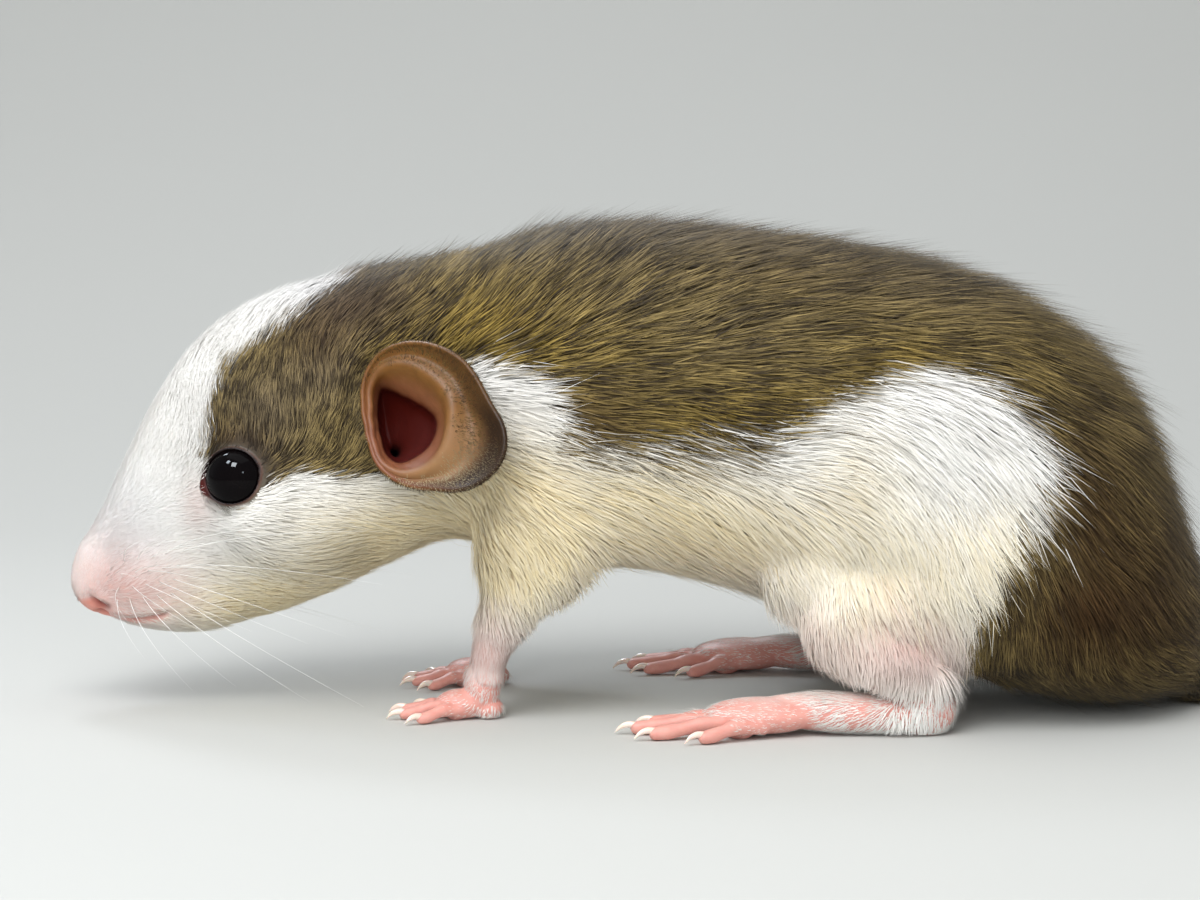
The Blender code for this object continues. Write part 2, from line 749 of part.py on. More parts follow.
def tail_lengths(work):
    """The tail in three lengths, each with a flat underside on the floor."""
    flat = smooth_rows(TAIL_PATH, TAIL_POINTS) * MM
    share = np.linspace(0, 1, TAIL_POINTS)
    radius = (TAIL_BASE_RADIUS + (TAIL_TIP_RADIUS - TAIL_BASE_RADIUS) * share**TAIL_TAPER) * MM
    rise = TAIL_RISE * MM * np.exp(-share / TAIL_RISE_REACH)
    points = np.column_stack([flat, radius * TAIL_SINK + rise])
    nodes = {}
    for name, (begin, end) in TAIL_PARTS.items():
        low = np.interp(begin, share, range(TAIL_POINTS))
        high = np.interp(end, share, range(TAIL_POINTS))
        spots = np.linspace(low, high, round(high - low) + 1)
        path = np.column_stack([np.interp(spots, range(TAIL_POINTS), points[:, k]) for k in range(3)])
        size = np.interp(spots, range(TAIL_POINTS), radius)
        step = path[1] - path[0]
        if begin > 0:
            path[0] += step / np.linalg.norm(step) * GAP
        node = tube(name, path, size, work, 3, round_end=name == "tail_tip")
        slice_off(node, Vector((0, 0, 0)), Vector((0, 0, -1)))
        nodes[name] = node
    slice_off(nodes["tail_base"], Vector((TAIL_CUT_X + GAP, 0, 0)), Vector((-1, 0, 0)))
    return nodes


def main():
    clear_scene()
    parts = named_collection("pet_rat")
    work = named_collection("cutters")
    flesh = flesh_mass(work)
    lids = [lid_ring(flesh, side, work) for side in SIDES.values()]
    centres = {name: eye_centre(flesh, side) for name, side in SIDES.items()}
    groove = mouth_groove(flesh, work)
    nose = nose_details(flesh, work)
    nodes = part_flesh(flesh, work)
    head = nodes["head"]
    boolean(head, "UNION", lids)
    boolean(head, "DIFFERENCE", [groove])
    for name, side in SIDES.items():
        socket = (EYE_RADIUS * MM + GAP,) * 3
        boolean(head, "DIFFERENCE", [ellipsoid("socket", centres[name], socket, work)])
        boolean(head, "DIFFERENCE", [ear_socket(side, work)])
        boolean(nodes["neck"], "DIFFERENCE", [ear_socket(side, work)])
        size = (EYE_RADIUS * MM,) * 3
        finish(ellipsoid("eye", centres[name], size, work), f"eye_{name}", "eye", parts)
        finish(ear_shell(side, work), f"ear_{name}", "ear", parts)
        for kind, spec in FEET.items():
            finish(foot(spec, side, work), f"{kind}_{name}", "skin", parts)
    for name, obj in nodes.items():
        if name.startswith("forearm"):
            slice_off(obj, Vector((0, 0, WRIST_Z)), Vector((0, 0, -1)))
        if name.startswith("shank"):
            slice_off(obj, Vector((0, 0, ANKLE_Z)), Vector((0, 0, -1)))
        keep_largest(obj)
        finish(obj, name, "agouti" if name == "torso" else "fur", parts)
    finish(nose, "nose", "skin", parts)
    for name, obj in tail_lengths(work).items():
        finish(obj, name, "skin", parts)


main()
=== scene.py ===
"""Pet rat pup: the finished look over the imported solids.

One skin takes the place of the flesh nodes and lies inside them by the depth of the coat. The coat is
thin overlapping tufts that follow the lie of the fur. Eyes, claws and whiskers are pieces of their own.
The animal's tables are in millimetres and are scaled by MM. The stage and all else are in metres, in the
frame's own axes.
"""

import math
from typing import NamedTuple

import bmesh
import bpy
import numpy as np
from bpy.props import FloatProperty, FloatVectorProperty, IntProperty, PointerProperty
from mathutils import Matrix, Vector
from mathutils.bvhtree import BVHTree
from mathutils.kdtree import KDTree


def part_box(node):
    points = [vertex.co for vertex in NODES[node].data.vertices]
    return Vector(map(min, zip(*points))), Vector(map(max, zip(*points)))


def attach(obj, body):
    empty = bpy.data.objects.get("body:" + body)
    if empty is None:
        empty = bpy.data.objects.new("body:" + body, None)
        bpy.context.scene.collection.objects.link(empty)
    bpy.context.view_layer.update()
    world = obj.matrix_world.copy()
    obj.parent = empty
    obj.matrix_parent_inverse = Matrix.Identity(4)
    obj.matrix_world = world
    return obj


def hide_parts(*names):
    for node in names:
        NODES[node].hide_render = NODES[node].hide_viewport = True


bl_info = {
    "name": "Pet rat pup",
    "version": (1, 0, 0),
    "blender": (4, 5, 0),
    "location": "View3D > Sidebar > Rat pup",
    "description": "Skin, coat, eyes, claws, whiskers and stage of a life-size pet rat pup",
    "category": "Add Mesh",
}

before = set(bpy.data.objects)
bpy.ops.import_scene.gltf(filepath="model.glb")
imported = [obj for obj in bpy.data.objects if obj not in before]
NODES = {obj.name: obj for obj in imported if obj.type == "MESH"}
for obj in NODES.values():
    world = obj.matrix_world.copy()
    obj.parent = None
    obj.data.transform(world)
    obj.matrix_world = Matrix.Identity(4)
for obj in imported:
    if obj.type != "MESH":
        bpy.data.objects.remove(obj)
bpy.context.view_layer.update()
MM = 0.001
TINY = 1e-9  # keeps a division from one by zero
FAR = 99 * MM
SIDES = {"left": -1, "right": 1}
NOSE_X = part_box("nose")[0][0]

FLESH = ("head", "nose", "neck", "torso") + tuple(
    f"{limb}_{side}" for limb in ("upper_arm", "forearm", "thigh", "shank") for side in SIDES
)
FEET = tuple(f"{foot}_{side}" for foot in ("forefoot", "hindfoot") for side in SIDES)
TAIL = ("tail_base", "tail_middle", "tail_tip")
EARS = ("ear_left", "ear_right")

# The view from the animal's left, which also lays out the markings
VIEW_CENTRE = Vector((NOSE_X + 48.9 * MM, 0.0, 23.5 * MM))
VIEW_DISTANCE = 260 * MM
VIEW_WIDTH = 111.1 * MM
VIEW_ELEVATION = math.radians(5.5)
VIEW_TOWARD = (0.0, -math.cos(VIEW_ELEVATION), math.sin(VIEW_ELEVATION))
VIEW_UP = (0.0, math.sin(VIEW_ELEVATION), math.cos(VIEW_ELEVATION))


class Zone(NamedTuple):
    """How the coat lies round one place of the animal's side, in mm and degrees."""

    x: float
    z: float
    reach: float
    flow: float  # 0 runs to the rear, 90 up, -90 down, 180 to the front
    lift: float
    length: float
    width: float
    crowd: float  # tufts on each square millimetre


ZONES = {
    "nose": Zone(-86.5, 12.5, 2.0, 50, 10, 0.5, 0.09, 30),
    "bridge": Zone(-81.5, 24.5, 3.5, 58, 10, 1.2, 0.10, 26),
    "muzzle": Zone(-80.0, 14.0, 4.0, 14, 10, 1.1, 0.10, 26),
    "lip": Zone(-81.0, 8.5, 2.5, -10, 12, 0.9, 0.10, 26),
    "under_eye": Zone(-73.0, 15.5, 3.5, 0, 10, 1.9, 0.12, 22),
    "cheek": Zone(-64.0, 17.0, 5.0, -2, 12, 3.0, 0.14, 17),
    "jaw": Zone(-71.0, 9.0, 4.0, -2, 12, 2.0, 0.12, 20),
    "throat": Zone(-58.0, 14.0, 4.0, -10, 16, 3.4, 0.14, 16),
    "brow": Zone(-74.0, 28.0, 3.0, 82, 12, 2.0, 0.12, 22),
    "forehead": Zone(-71.0, 35.0, 4.0, 58, 13, 2.5, 0.13, 20),
    "temple": Zone(-66.5, 28.5, 4.0, 84, 13, 3.0, 0.14, 18),
    "before_ear": Zone(-62.5, 25.0, 3.0, 68, 12, 2.6, 0.13, 18),
    "crown": Zone(-60.0, 38.5, 4.0, 46, 22, 3.8, 0.15, 15),
    "nape": Zone(-53.0, 37.0, 4.0, 46, 24, 4.6, 0.16, 13),
    "neck": Zone(-47.0, 28.0, 4.0, -8, 14, 4.4, 0.16, 13),
    "neck_low": Zone(-50.0, 18.0, 4.0, -38, 14, 3.6, 0.15, 14),
    "withers": Zone(-42.0, 39.0, 5.0, 38, 22, 5.2, 0.17, 12),
    "shoulder": Zone(-40.0, 29.0, 5.0, -8, 12, 5.2, 0.17, 12),
    "chest": Zone(-46.0, 14.0, 3.5, -62, 14, 3.0, 0.15, 14),
    "back": Zone(-28.0, 41.0, 7.0, 10, 20, 6.0, 0.18, 11),
    "side": Zone(-28.0, 30.0, 7.0, -8, 12, 6.0, 0.18, 11),
    "flank": Zone(-30.0, 18.0, 5.0, -42, 13, 5.4, 0.18, 11),
    "loin": Zone(-12.0, 38.0, 6.0, -6, 20, 6.4, 0.18, 11),
    "hip": Zone(-8.0, 24.0, 6.0, -48, 10, 6.2, 0.18, 12),
    "hip_low": Zone(-10.0, 17.0, 4.0, -70, 9, 5.4, 0.17, 12),
    "haunch": Zone(-8.0, 11.5, 6.0, -78, 9, 4.4, 0.16, 13),
    "rump_top": Zone(4.0, 33.0, 5.0, -34, 22, 6.8, 0.18, 11),
    "rump": Zone(9.0, 20.0, 5.0, -58, 20, 6.8, 0.18, 11),
    "tail_root": Zone(13.0, 8.0, 4.0, -30, 14, 4.6, 0.16, 12),
    "knee": Zone(-18.0, 10.0, 4.5, -78, 10, 3.0, 0.15, 14),
    "shank": Zone(-12.5, 6.0, 3.0, -92, 10, 1.9, 0.13, 16),
    "instep": Zone(-15.5, 3.4, 2.4, -168, 8, 0.9, 0.10, 12),
    "elbow": Zone(-45.0, 11.0, 2.5, -72, 12, 2.4, 0.13, 16),
    "forearm": Zone(-48.5, 6.5, 2.5, -88, 10, 1.3, 0.11, 18),
    "wrist": Zone(-49.2, 3.0, 1.5, -100, 10, 0.7, 0.09, 16),
    "forefoot": Zone(-53.0, 1.5, 2.5, 180, 8, 0.5, 0.08, 9),
    "hindfoot": Zone(-23.5, 1.5, 4.0, 180, 8, 0.6, 0.07, 8),
    "heel": Zone(-8.5, 2.5, 1.8, -96, 10, 0.9, 0.10, 14),
}

ZONE_CORE = 0.12  # the more, the softer one zone passes into the next
COAT_CROWD = 1.5  # tufts grown for each one in the table
COAT_DEPTH = 0.66  # of the tufts' rise, by which the skin lies inside the solids

# The brown of head, back and rump, as it shows from the side; the white of neck and hip lies outside it
BROWN = [
    (-75.0, 21.0), (-75.3, 23.8), (-74.7, 25.6), (-74.4, 29.0), (-73.0, 32.4), (-70.0, 34.4), (-66.5, 36.5),
    (-62.0, 39.6), (-58.0, 50.0), (30.0, 50.0), (30.0, -4.0), (-5.4, -4.0), (-4.1, 5.6), (-1.8, 9.6),
    (0.2, 13.0), (2.7, 16.8), (4.0, 19.8), (3.9, 22.6), (1.4, 25.8), (-1.3, 28.2), (-4.4, 30.2), (-6.6, 30.9),
    (-10.6, 30.2), (-13.8, 28.9), (-16.6, 27.4), (-19.0, 25.6), (-23.3, 22.9), (-33.2, 22.3), (-37.5, 22.4),
    (-41.8, 23.3), (-40.6, 25.8), (-41.4, 29.1), (-44.5, 31.0), (-50.0, 31.9), (-52.5, 31.0), (-54.0, 25.0),
    (-58.5, 21.6), (-62.0, 21.5), (-65.0, 21.9), (-67.9, 20.9), (-70.3, 19.4), (-73.0, 18.0),
]

# Where brown and white hairs mix, low on the flank: place in the side view, and reach along and up
FLANK_MIX = (-30, 22, 12, 5)

# Tints of the coat: place in the side view, reach along and up, and strength
GOLD = [
    (-50, 35, 7, 4.5, 1.0), (-44, 33, 6, 4, 0.6), (-24, 26, 12, 4, 0.8), (-11, 31.5, 6, 3, 0.7),
    (-58, 33, 4, 3, 0.5), (2, 31, 4, 5, 0.3), (-36, 33, 5, 3, 0.35),
]
# The grey patches also dim white fur toward a flat grey; the last one, on the muzzle, is painted shade there.
GREY = [
    (-30, 45, 22, 3.5, 0.7), (-62, 38, 6, 3.5, 0.8), (-4, 41, 10, 4, 0.4), (-70, 27, 4, 4, 0.6),
    (-64, 31, 4, 3, 0.5), (-83, 15, 4.5, 7, 0.7),
]
DARK = [
    (-38.5, 26, 3.5, 3, 0.5), (7, 18, 3.5, 8, 0.7), (6, 7, 7, 5, 0.85), (14, 12, 5, 9, 0.6),
    (-72.5, 25.0, 2.5, 1.4, 0.55), (-70.0, 22.5, 1.6, 2.0, 0.5), (-20, 40, 10, 3, 0.2),
    (-64.5, 34.5, 4, 3, 0.55), (-60, 37.5, 5, 2.5, 0.55),
]
CREAM = [
    (-57, 14, 9, 5, 1.0), (-69, 9.0, 9, 3.2, 0.95), (-48, 20, 7, 5, 0.8), (-46, 13, 6, 6, 0.95),
    (-29, 15, 14, 5, 0.9), (-12, 7, 9, 5, 0.6), (-34, 20, 7, 3, 0.45), (-14, 20, 4, 6, 0.35),
    (0, 10, 3, 8, 0.3), (-5, 13, 7, 4, 0.4),
]
PINK = [
    (-85, 11, 4.0, 4.5, 0.6), (-80, 10.5, 4.5, 3.2, 0.6), (-49, 4, 4, 3.5, 0.8), (-10, 3.5, 8, 2.8, 0.8),
    (-19, 6, 3, 3, 0.3), (-75.5, 18.5, 1.5, 2.5, 0.4), (14, 4, 5, 4, 0.4), (-10.4, 7.3, 3.5, 2.2, 0.3),
]
TINTS = {"gold": GOLD, "grey": GREY, "dark": DARK, "cream": CREAM, "pink": PINK}
COLOUR_MASKS = ("brown", *TINTS)

# Colours along a hair, from its root, 0, to its tip, 1
HAIR_COLOURS = {
    "banded": [
        (0.0, (68, 60, 48)), (0.35, (92, 80, 55)), (0.62, (148, 130, 84)), (0.84, (124, 108, 70)),
        (1.0, (72, 60, 42)),
    ],
    "golden": [(0.0, (72, 60, 32)), (0.4, (106, 88, 34)), (0.7, (160, 137, 68)), (1.0, (112, 92, 38))],
    "greyish": [(0.0, (70, 63, 60)), (0.5, (104, 95, 84)), (0.8, (122, 110, 96)), (1.0, (72, 64, 58))],
    "guard": [(0.0, (64, 56, 48)), (0.5, (70, 60, 48)), (1.0, (40, 34, 28))],
    "deep": [(0.0, (42, 30, 19)), (0.6, (82, 59, 33)), (1.0, (54, 39, 22))],
    "pale": [(0.0, (238, 237, 232)), (0.35, (240, 239, 235)), (1.0, (242, 241, 238))],
    "cream": [(0.0, (226, 204, 162)), (0.5, (238, 222, 180)), (1.0, (244, 234, 202))],
    "pink": [(0.0, (212, 160, 150)), (0.6, (222, 193, 187)), (1.0, (230, 213, 208))],
}

# Guard hairs, the long dark ones that stand out of the coat, and the plain tufts between them
GUARD_SHARE = 0.08  # of all tufts
GUARD_SHARE_ABOVE = 0.05  # added higher than GUARD_HEIGHT
GUARD_HEIGHT = 32
GUARD_LEAST_COAT = 3.5  # where the coat is shorter, there are none
GUARD_WIDTH = 0.62  # of a plain tuft's
GUARD_CLUMP = 4  # hairs drawn together into one spike
PLAIN_CLUMP = 14
PLAIN_RISE = 1.2  # the most by which a plain tuft stands past the coat's surface
RUMP_RISE = 1.6  # added for guard hairs on the rump
TUFT_WIDTH = 0.82  # of the width in the table of zones
SEEN_SHARE = 0.75  # along a tuft, where the coat's surface is seen and its colour is read

# The down of the ears, and the pads of the whiskers with their few dark hairs
EAR_CROWD = 34.0  # tufts on each square millimetre
DOWN_WIDTH = 0.06
DOWN_LIFT = 0.42
PAD_PLACE = (-80.6, 12.0)
PAD_REACH = (3.4, 3.2)
PAD_DARK_SHARE = 0.05

# The ear's contours as they show in the view from the side, in mm; they lie on a plane that leans forward
EAR_MIDDLE = (-56.8, 25.9)
EAR_CANAL = (-57.6, 23.2)
EAR_RIM = [
    (-47.6, 25.9), (-48.7, 27.4), (-49.4, 28.8), (-50.4, 30.6), (-51.4, 31.8), (-53.3, 32.9), (-55.2, 33.4),
    (-57.0, 33.3), (-58.9, 32.5), (-59.9, 31.2), (-60.5, 29.6), (-60.5, 27.9), (-60.2, 25.9), (-59.8, 24.0),
    (-59.0, 22.0), (-57.0, 20.5), (-53.9, 20.0), (-51.3, 19.8), (-48.8, 21.1), (-47.4, 23.2),
]
EAR_RIDGE = [
    (-52.3, 26.9), (-52.7, 28.6), (-54.3, 30.3), (-56.8, 31.4), (-58.8, 31.0), (-59.8, 29.5), (-59.8, 27.5),
    (-59.7, 25.6), (-59.4, 23.8), (-58.8, 22.3), (-57.0, 21.3), (-54.8, 21.6), (-53.2, 23.0), (-52.5, 25.0),
]
EAR_HOLLOW = [
    (-53.4, 25.9), (-53.6, 26.7), (-54.3, 27.4), (-55.4, 28.1), (-56.7, 28.7), (-58.0, 29.3), (-59.0, 29.6),
    (-59.3, 28.4), (-59.4, 27.3), (-59.3, 25.9), (-59.0, 24.4), (-58.5, 22.8), (-57.4, 22.0), (-55.4, 22.7),
    (-53.9, 24.2),
]
EAR_PLANE = (-53.7, -13.5, 27.9)  # a point on it
EAR_AXIS = Vector((-0.44, -0.84, 0.28)).normalized()
EAR_THICKNESS = 0.45
EAR_RADIUS = 10  # round the rim's middle, with some to spare
EAR_REACH = 3.5  # round the ears, where the coat is shorter
EAR_CLOSE = 0.6  # round the ears, where the skin is coloured as theirs
EAR_RINGS = 46
EAR_SEGMENTS = 128
EAR_CANAL_SHARE = 0.11  # from the bottom of the ear, 0, to its rim, 1
EAR_HOLLOW_SHARE = 0.44
EAR_RIDGE_SHARE = 0.67

# The flesh at the root of each ear, as centre and radii
EAR_ROOT = ((-56.0, -6.3, 25.5), (6.5, 4.2, 6.5))

# The lids: half their opening, how far from the eye's axis they lie on the ball, how far off it they stand,
# the width of their rims, and the directions of their corners
EYE_AXIS = Vector((-0.30, -0.93, 0.20)).normalized()
LID_OPENING = 2.36
LID_CLIMB = 2.72
LID_CLEAR = 0.1
LID_THICKNESS = 0.20
INNER_CORNER = math.radians(196)
OUTER_CORNER = math.radians(14)

# The muzzle: its swollen tip, the nostril and the line of the mouth, as places along and heights
NOSE_TIP = (-86.6, 0, 10.2)
NOSE_SWELLING = 0.75
NOSE_REACH = 2.9
MOUTH_LINE = ([-84.8, -83.0, -81.0, -79.4, -78.2], [8.6, 8.2, 8.25, 8.55, 9.0])
NOSTRIL_X = -84.7
NOSTRIL_Z = 9.4
NOSTRIL_SLANT = (0.94, -0.34)  # from the front of the nostril to its rear, in the side view

# Creases that are rounded off: centre and reach, in mm
FOLDS = [((-17.0, 12.0, 15.5), 6.0), ((-47.0, 8.0, 16.0), 4.0)]

# The skin: how far the solids swell to close their cuts, the grain in which forms are melted together, and
# how high over the floor skin and coat keep
SWELL = 0.26
BODY_GRAIN = 0.45
FOOT_GRAIN = 0.2
SKIN_CLEAR = 0.2
SKIN_FLOOR = 0.02
COAT_FLOOR = 0.12

# Each foot's heel, sole and pads: centre, radii and lean in degrees
PADS = {
    "hindfoot": [
        ((-10.0, -15.5, 2.3), (2.7, 2.3, 2.6), 0), ((-10.2, -15.6, 4.6), (2.3, 2.2, 2.6), 0),
        ((-17.0, -15.7, 1.9), (9.0, 2.3, 1.75), 2), ((-24.5, -16.1, 1.7), (5.0, 2.75, 1.6), 0),
        ((-26.2, -14.6, 0.7), (1.3, 1.0, 0.8), 0), ((-26.4, -17.8, 0.7), (1.3, 1.0, 0.8), 0),
    ],
    "forefoot": [
        ((-49.2, -8.5, 3.0), (1.65, 1.6, 2.6), 0), ((-51.0, -8.35, 1.3), (2.5, 1.95, 1.35), 0),
        ((-48.7, -8.4, 0.9), (1.4, 1.5, 1.0), 0), ((-51.6, -7.3, 0.5), (0.9, 0.7, 0.6), 0),
        ((-51.6, -9.3, 0.5), (0.9, 0.7, 0.6), 0),
    ],
}


class ToeRow(NamedTuple):
    """The toes of one kind of foot, in mm and degrees."""

    count: int
    root: float  # from the foot's front to the root of its middle toe
    sweep: float  # how far the outer roots lie back
    middle: float  # from the spine to the middle of the row
    spread: float  # from there to the outer roots
    fan: float  # how far the outer toes turn out
    reach: float
    taper: float  # how much shorter the outer toes are
    radius: float


TOE_ROWS = {
    "hindfoot": ToeRow(5, 9.8, 1.6, 16.3, 2.25, 25, 7.8, 0.36, 0.68),
    "forefoot": ToeRow(4, 5.5, 0.0, 8.3, 1.65, 30, 4.1, 0.14, 0.58),
}
ROOT_BOW = 0.9  # how far the row of roots is bowed back at its ends
TOE_RINGS = 22
TOE_SIDES = 18
CLAW_RINGS = 12
CLAW_SIDES = 10

# The tail's middle line on the floor
TAIL_PATH = [
    (13.0, 0.0), (23.0, 0.3), (33.0, 3.8), (44.0, 8.8), (55.5, 9.6), (66.0, 4.8), (76.5, -2.2), (86.7, -5.4),
]
TAIL_BASE_RADIUS = 2.5
TAIL_TIP_RADIUS = 0.7
TAIL_ROWS = 900
TAIL_SIDES = 28
TAIL_PITCH = (0.85, 0.5)  # of its rings of scales, at its root and tip

# The whiskers of each side, in rows from below and columns from the front
WHISKER_ROWS = 4
WHISKER_COLUMNS = 5
WHISKER_START = (-82.9, 10.2)  # the lowest whisker in front: place along and height
WHISKER_BEND = Vector((0.30, 0.0, -0.12))  # added to its direction at its tip
WHISKER_CLEAR = 3 * MM  # over the floor
WHISKER_POINTS = 14
WHISKER_SEED = 7


# Small mesh helpers


def arrays_of(mesh):
    """Vertex places and the corners of its triangles, as arrays."""
    mesh.calc_loop_triangles()
    points = np.empty(len(mesh.vertices) * 3)
    mesh.vertices.foreach_get("co", points)
    corners = np.empty(len(mesh.loop_triangles) * 3, np.int32)
    mesh.loop_triangles.foreach_get("vertices", corners)
    return points.reshape(-1, 3), corners.reshape(-1, 3)


def vertex_normals(mesh):
    """The direction in which the surface faces at each vertex."""
    normals = np.empty(len(mesh.vertices) * 3)
    mesh.vertex_normals.foreach_get("vector", normals)
    return normals.reshape(-1, 3)


def move_vertices(mesh, points):
    """Set the mesh's vertices to the given points."""
    mesh.vertices.foreach_set("co", np.ascontiguousarray(points, np.float32).ravel())
    mesh.update()


def mesh_of(name, points, faces):
    """A mesh from arrays: faces is a list of index arrays, each of faces with the same number of corners."""
    mesh = bpy.data.meshes.new(name)
    mesh.vertices.add(len(points))
    mesh.vertices.foreach_set("co", np.ascontiguousarray(points, np.float32).ravel())
    loops = np.concatenate([face.ravel() for face in faces]).astype(np.int32)
    sizes = np.concatenate([np.full(len(face), face.shape[1], np.int32) for face in faces])
    starts = np.concatenate([[0], np.cumsum(sizes)[:-1]]).astype(np.int32)
    mesh.loops.add(len(loops))
    mesh.loops.foreach_set("vertex_index", loops)
    mesh.polygons.add(len(sizes))
    mesh.polygons.foreach_set("loop_start", starts)
    mesh.update(calc_edges=True)
    mesh.shade_smooth()
    return mesh


def add_object(name, mesh):
    """Link a new object of the mesh into the scene."""
    obj = bpy.data.objects.new(name, mesh)
    bpy.context.scene.collection.objects.link(obj)
    return obj


def remove(obj):
    """Drop an object."""
    bpy.data.objects.remove(obj, do_unlink=True)


def apply_modifiers(obj):
    """Put the result of the object's modifiers in place of its mesh."""
    graph = bpy.context.evaluated_depsgraph_get()
    mesh = bpy.data.meshes.new_from_object(obj.evaluated_get(graph))
    obj.modifiers.clear()
    old = obj.data
    obj.data = mesh
    bpy.data.meshes.remove(old)


def join_meshes(name, meshes):
    """One mesh that holds all the given ones."""
    bm = bmesh.new()
    for mesh in meshes:
        bm.from_mesh(mesh)
    joined = bpy.data.meshes.new(name)
    bm.to_mesh(joined)
    bm.free()
    return joined


def add_smoothing(obj, name, rounds):
    """A smoothing modifier that moves each vertex half way to its neighbours, for a number of rounds."""
    soften = obj.modifiers.new(name, "SMOOTH")
    soften.factor = 0.5
    soften.iterations = rounds
    return soften


def fuse(obj, grain, rounds):
    """Melt the overlapping closed pieces of an object's mesh into one smooth surface."""
    remesh = obj.modifiers.new("fuse", "REMESH")
    remesh.mode = "VOXEL"
    remesh.voxel_size = grain * MM
    add_smoothing(obj, "soften", rounds)
    apply_modifiers(obj)


def boolean(obj, operation, cutter):
    """Add another closed object to this one, or cut it away, and drop it."""
    modifier = obj.modifiers.new(operation.lower(), "BOOLEAN")
    modifier.operation = operation
    modifier.solver = "MANIFOLD"
    modifier.object = cutter
    apply_modifiers(obj)
    remove(cutter)


def grid_faces(rows, columns, ring=True):
    """Quads of a grid of points whose columns close into a ring or stay open."""
    row, column = np.meshgrid(np.arange(rows - 1), np.arange(columns if ring else columns - 1), indexing="ij")
    near = row * columns
    far = near + columns
    after = (column + 1) % columns
    return np.stack([near + column, near + after, far + after, far + column], axis=-1).reshape(-1, 4)


def closed_rings(name, rings):
    """A closed mesh from an array of rings (rows, columns, 3), capped with a point at each end."""
    rows, columns, _ = rings.shape
    ends = np.array([rings[0].mean(axis=0), rings[-1].mean(axis=0)])
    points = np.concatenate([rings.reshape(-1, 3), ends])
    around = np.arange(columns)
    after = (around + 1) % columns
    first = np.stack([np.full(columns, rows * columns), after, around], axis=-1)
    last_row = (rows - 1) * columns
    last = np.stack([np.full(columns, rows * columns + 1), last_row + around, last_row + after], axis=-1)
    mesh = mesh_of(name, points, [grid_faces(rows, columns), first, last])
    bm = bmesh.new()
    bm.from_mesh(mesh)
    bmesh.ops.recalc_face_normals(bm, faces=bm.faces)
    bm.to_mesh(mesh)
    bm.free()
    return mesh


def smooth_rows(rows, count):
    """Catmull-Rom rows through the given ones, evenly spaced by their order."""
    rows = np.asarray(rows, float)
    padded = np.vstack([2 * rows[0] - rows[1], rows, 2 * rows[-1] - rows[-2]])
    place = np.linspace(0, len(rows) - 1, count)
    index = np.minimum(place.astype(int), len(rows) - 2)
    t = (place - index)[:, None]
    a, b, c, d = (padded[index + k] for k in range(4))
    return 0.5 * (2 * b + (c - a) * t + (2 * a - 5 * b + 4 * c - d) * t**2 + (3 * b - a - 3 * c + d) * t**3)


def tube_rings(path, radii, sides, flatten=1.0):
    """Rings round a path whose radius changes; flatten stretches or squashes them upright."""
    path = np.asarray(path, float)
    ahead = np.gradient(path, axis=0)
    ahead /= np.linalg.norm(ahead, axis=1)[:, None]
    across = np.cross(ahead, (0.0, 0.0, 1.0))
    across /= np.maximum(np.linalg.norm(across, axis=1)[:, None], TINY)
    up = np.cross(across, ahead)
    angle = np.linspace(0, 2 * math.pi, sides, endpoint=False)[None, :, None]
    spread = across[:, None] * np.cos(angle) + up[:, None] * np.sin(angle) * flatten
    return path[:, None] + spread * np.asarray(radii)[:, None, None]


def round_ended(path, radii, steps=5):
    """Add a rounded end to a path and its radii."""
    path, radii = np.asarray(path, float), np.asarray(radii, float)
    ahead = path[-1] - path[-2]
    ahead /= np.linalg.norm(ahead)
    turn = np.linspace(0, math.pi / 2 - 0.05, steps + 1)[1:]
    return (
        np.vstack([path, path[-1] + ahead * radii[-1] * np.sin(turn)[:, None]]),
        np.concatenate([radii, radii[-1] * np.cos(turn)]),
    )


def ellipsoid_mesh(centre, radii, lean=0.0):
    """An ellipsoid whose front is lowered by a lean in degrees."""
    bm = bmesh.new()
    bmesh.ops.create_icosphere(bm, subdivisions=4, radius=1.0)
    turn = Matrix.Rotation(math.radians(lean), 4, "Y")
    matrix = Matrix.Translation(centre) @ turn @ Matrix.Diagonal((*radii, 1.0))
    bmesh.ops.transform(bm, matrix=matrix, verts=bm.verts)
    mesh = bpy.data.meshes.new("ellipsoid")
    bm.to_mesh(mesh)
    bm.free()
    return mesh


def place(triple, side=-1):
    """A point of a table in metres, on the animal's left side (-1) or mirrored to its right (1)."""
    return Vector((triple[0] * MM, -side * triple[1] * MM, triple[2] * MM))


def mirrored(axis, side):
    """A direction of the left side as it is, or mirrored to the right side."""
    return Vector((axis.x, -side * axis.y, axis.z))


def smoothstep(low, high, value):
    """A soft rise from 0 at low to 1 at high."""
    t = np.clip((value - low) / (high - low), 0, 1)
    return t * t * (3 - 2 * t)


def bell(*offsets):
    """1 where every offset is 0, and next to nothing where one is past 2."""
    return np.exp(-sum(offset**2 for offset in offsets))


# Fields over the body


def side_view(points):
    """Where points show in the view from the side, the right side mirrored, in mm on the spine's plane."""
    left_points = np.column_stack([points[:, 0], -np.abs(points[:, 1]), points[:, 2]])
    centre = np.array(VIEW_CENTRE)
    offset = left_points - centre
    scale = VIEW_DISTANCE / (VIEW_DISTANCE - offset @ np.array(VIEW_TOWARD))
    along = centre[0] + offset[:, 0] * scale
    height = centre[2] + (offset @ np.array(VIEW_UP)) * scale
    return np.column_stack([along, height]) / MM


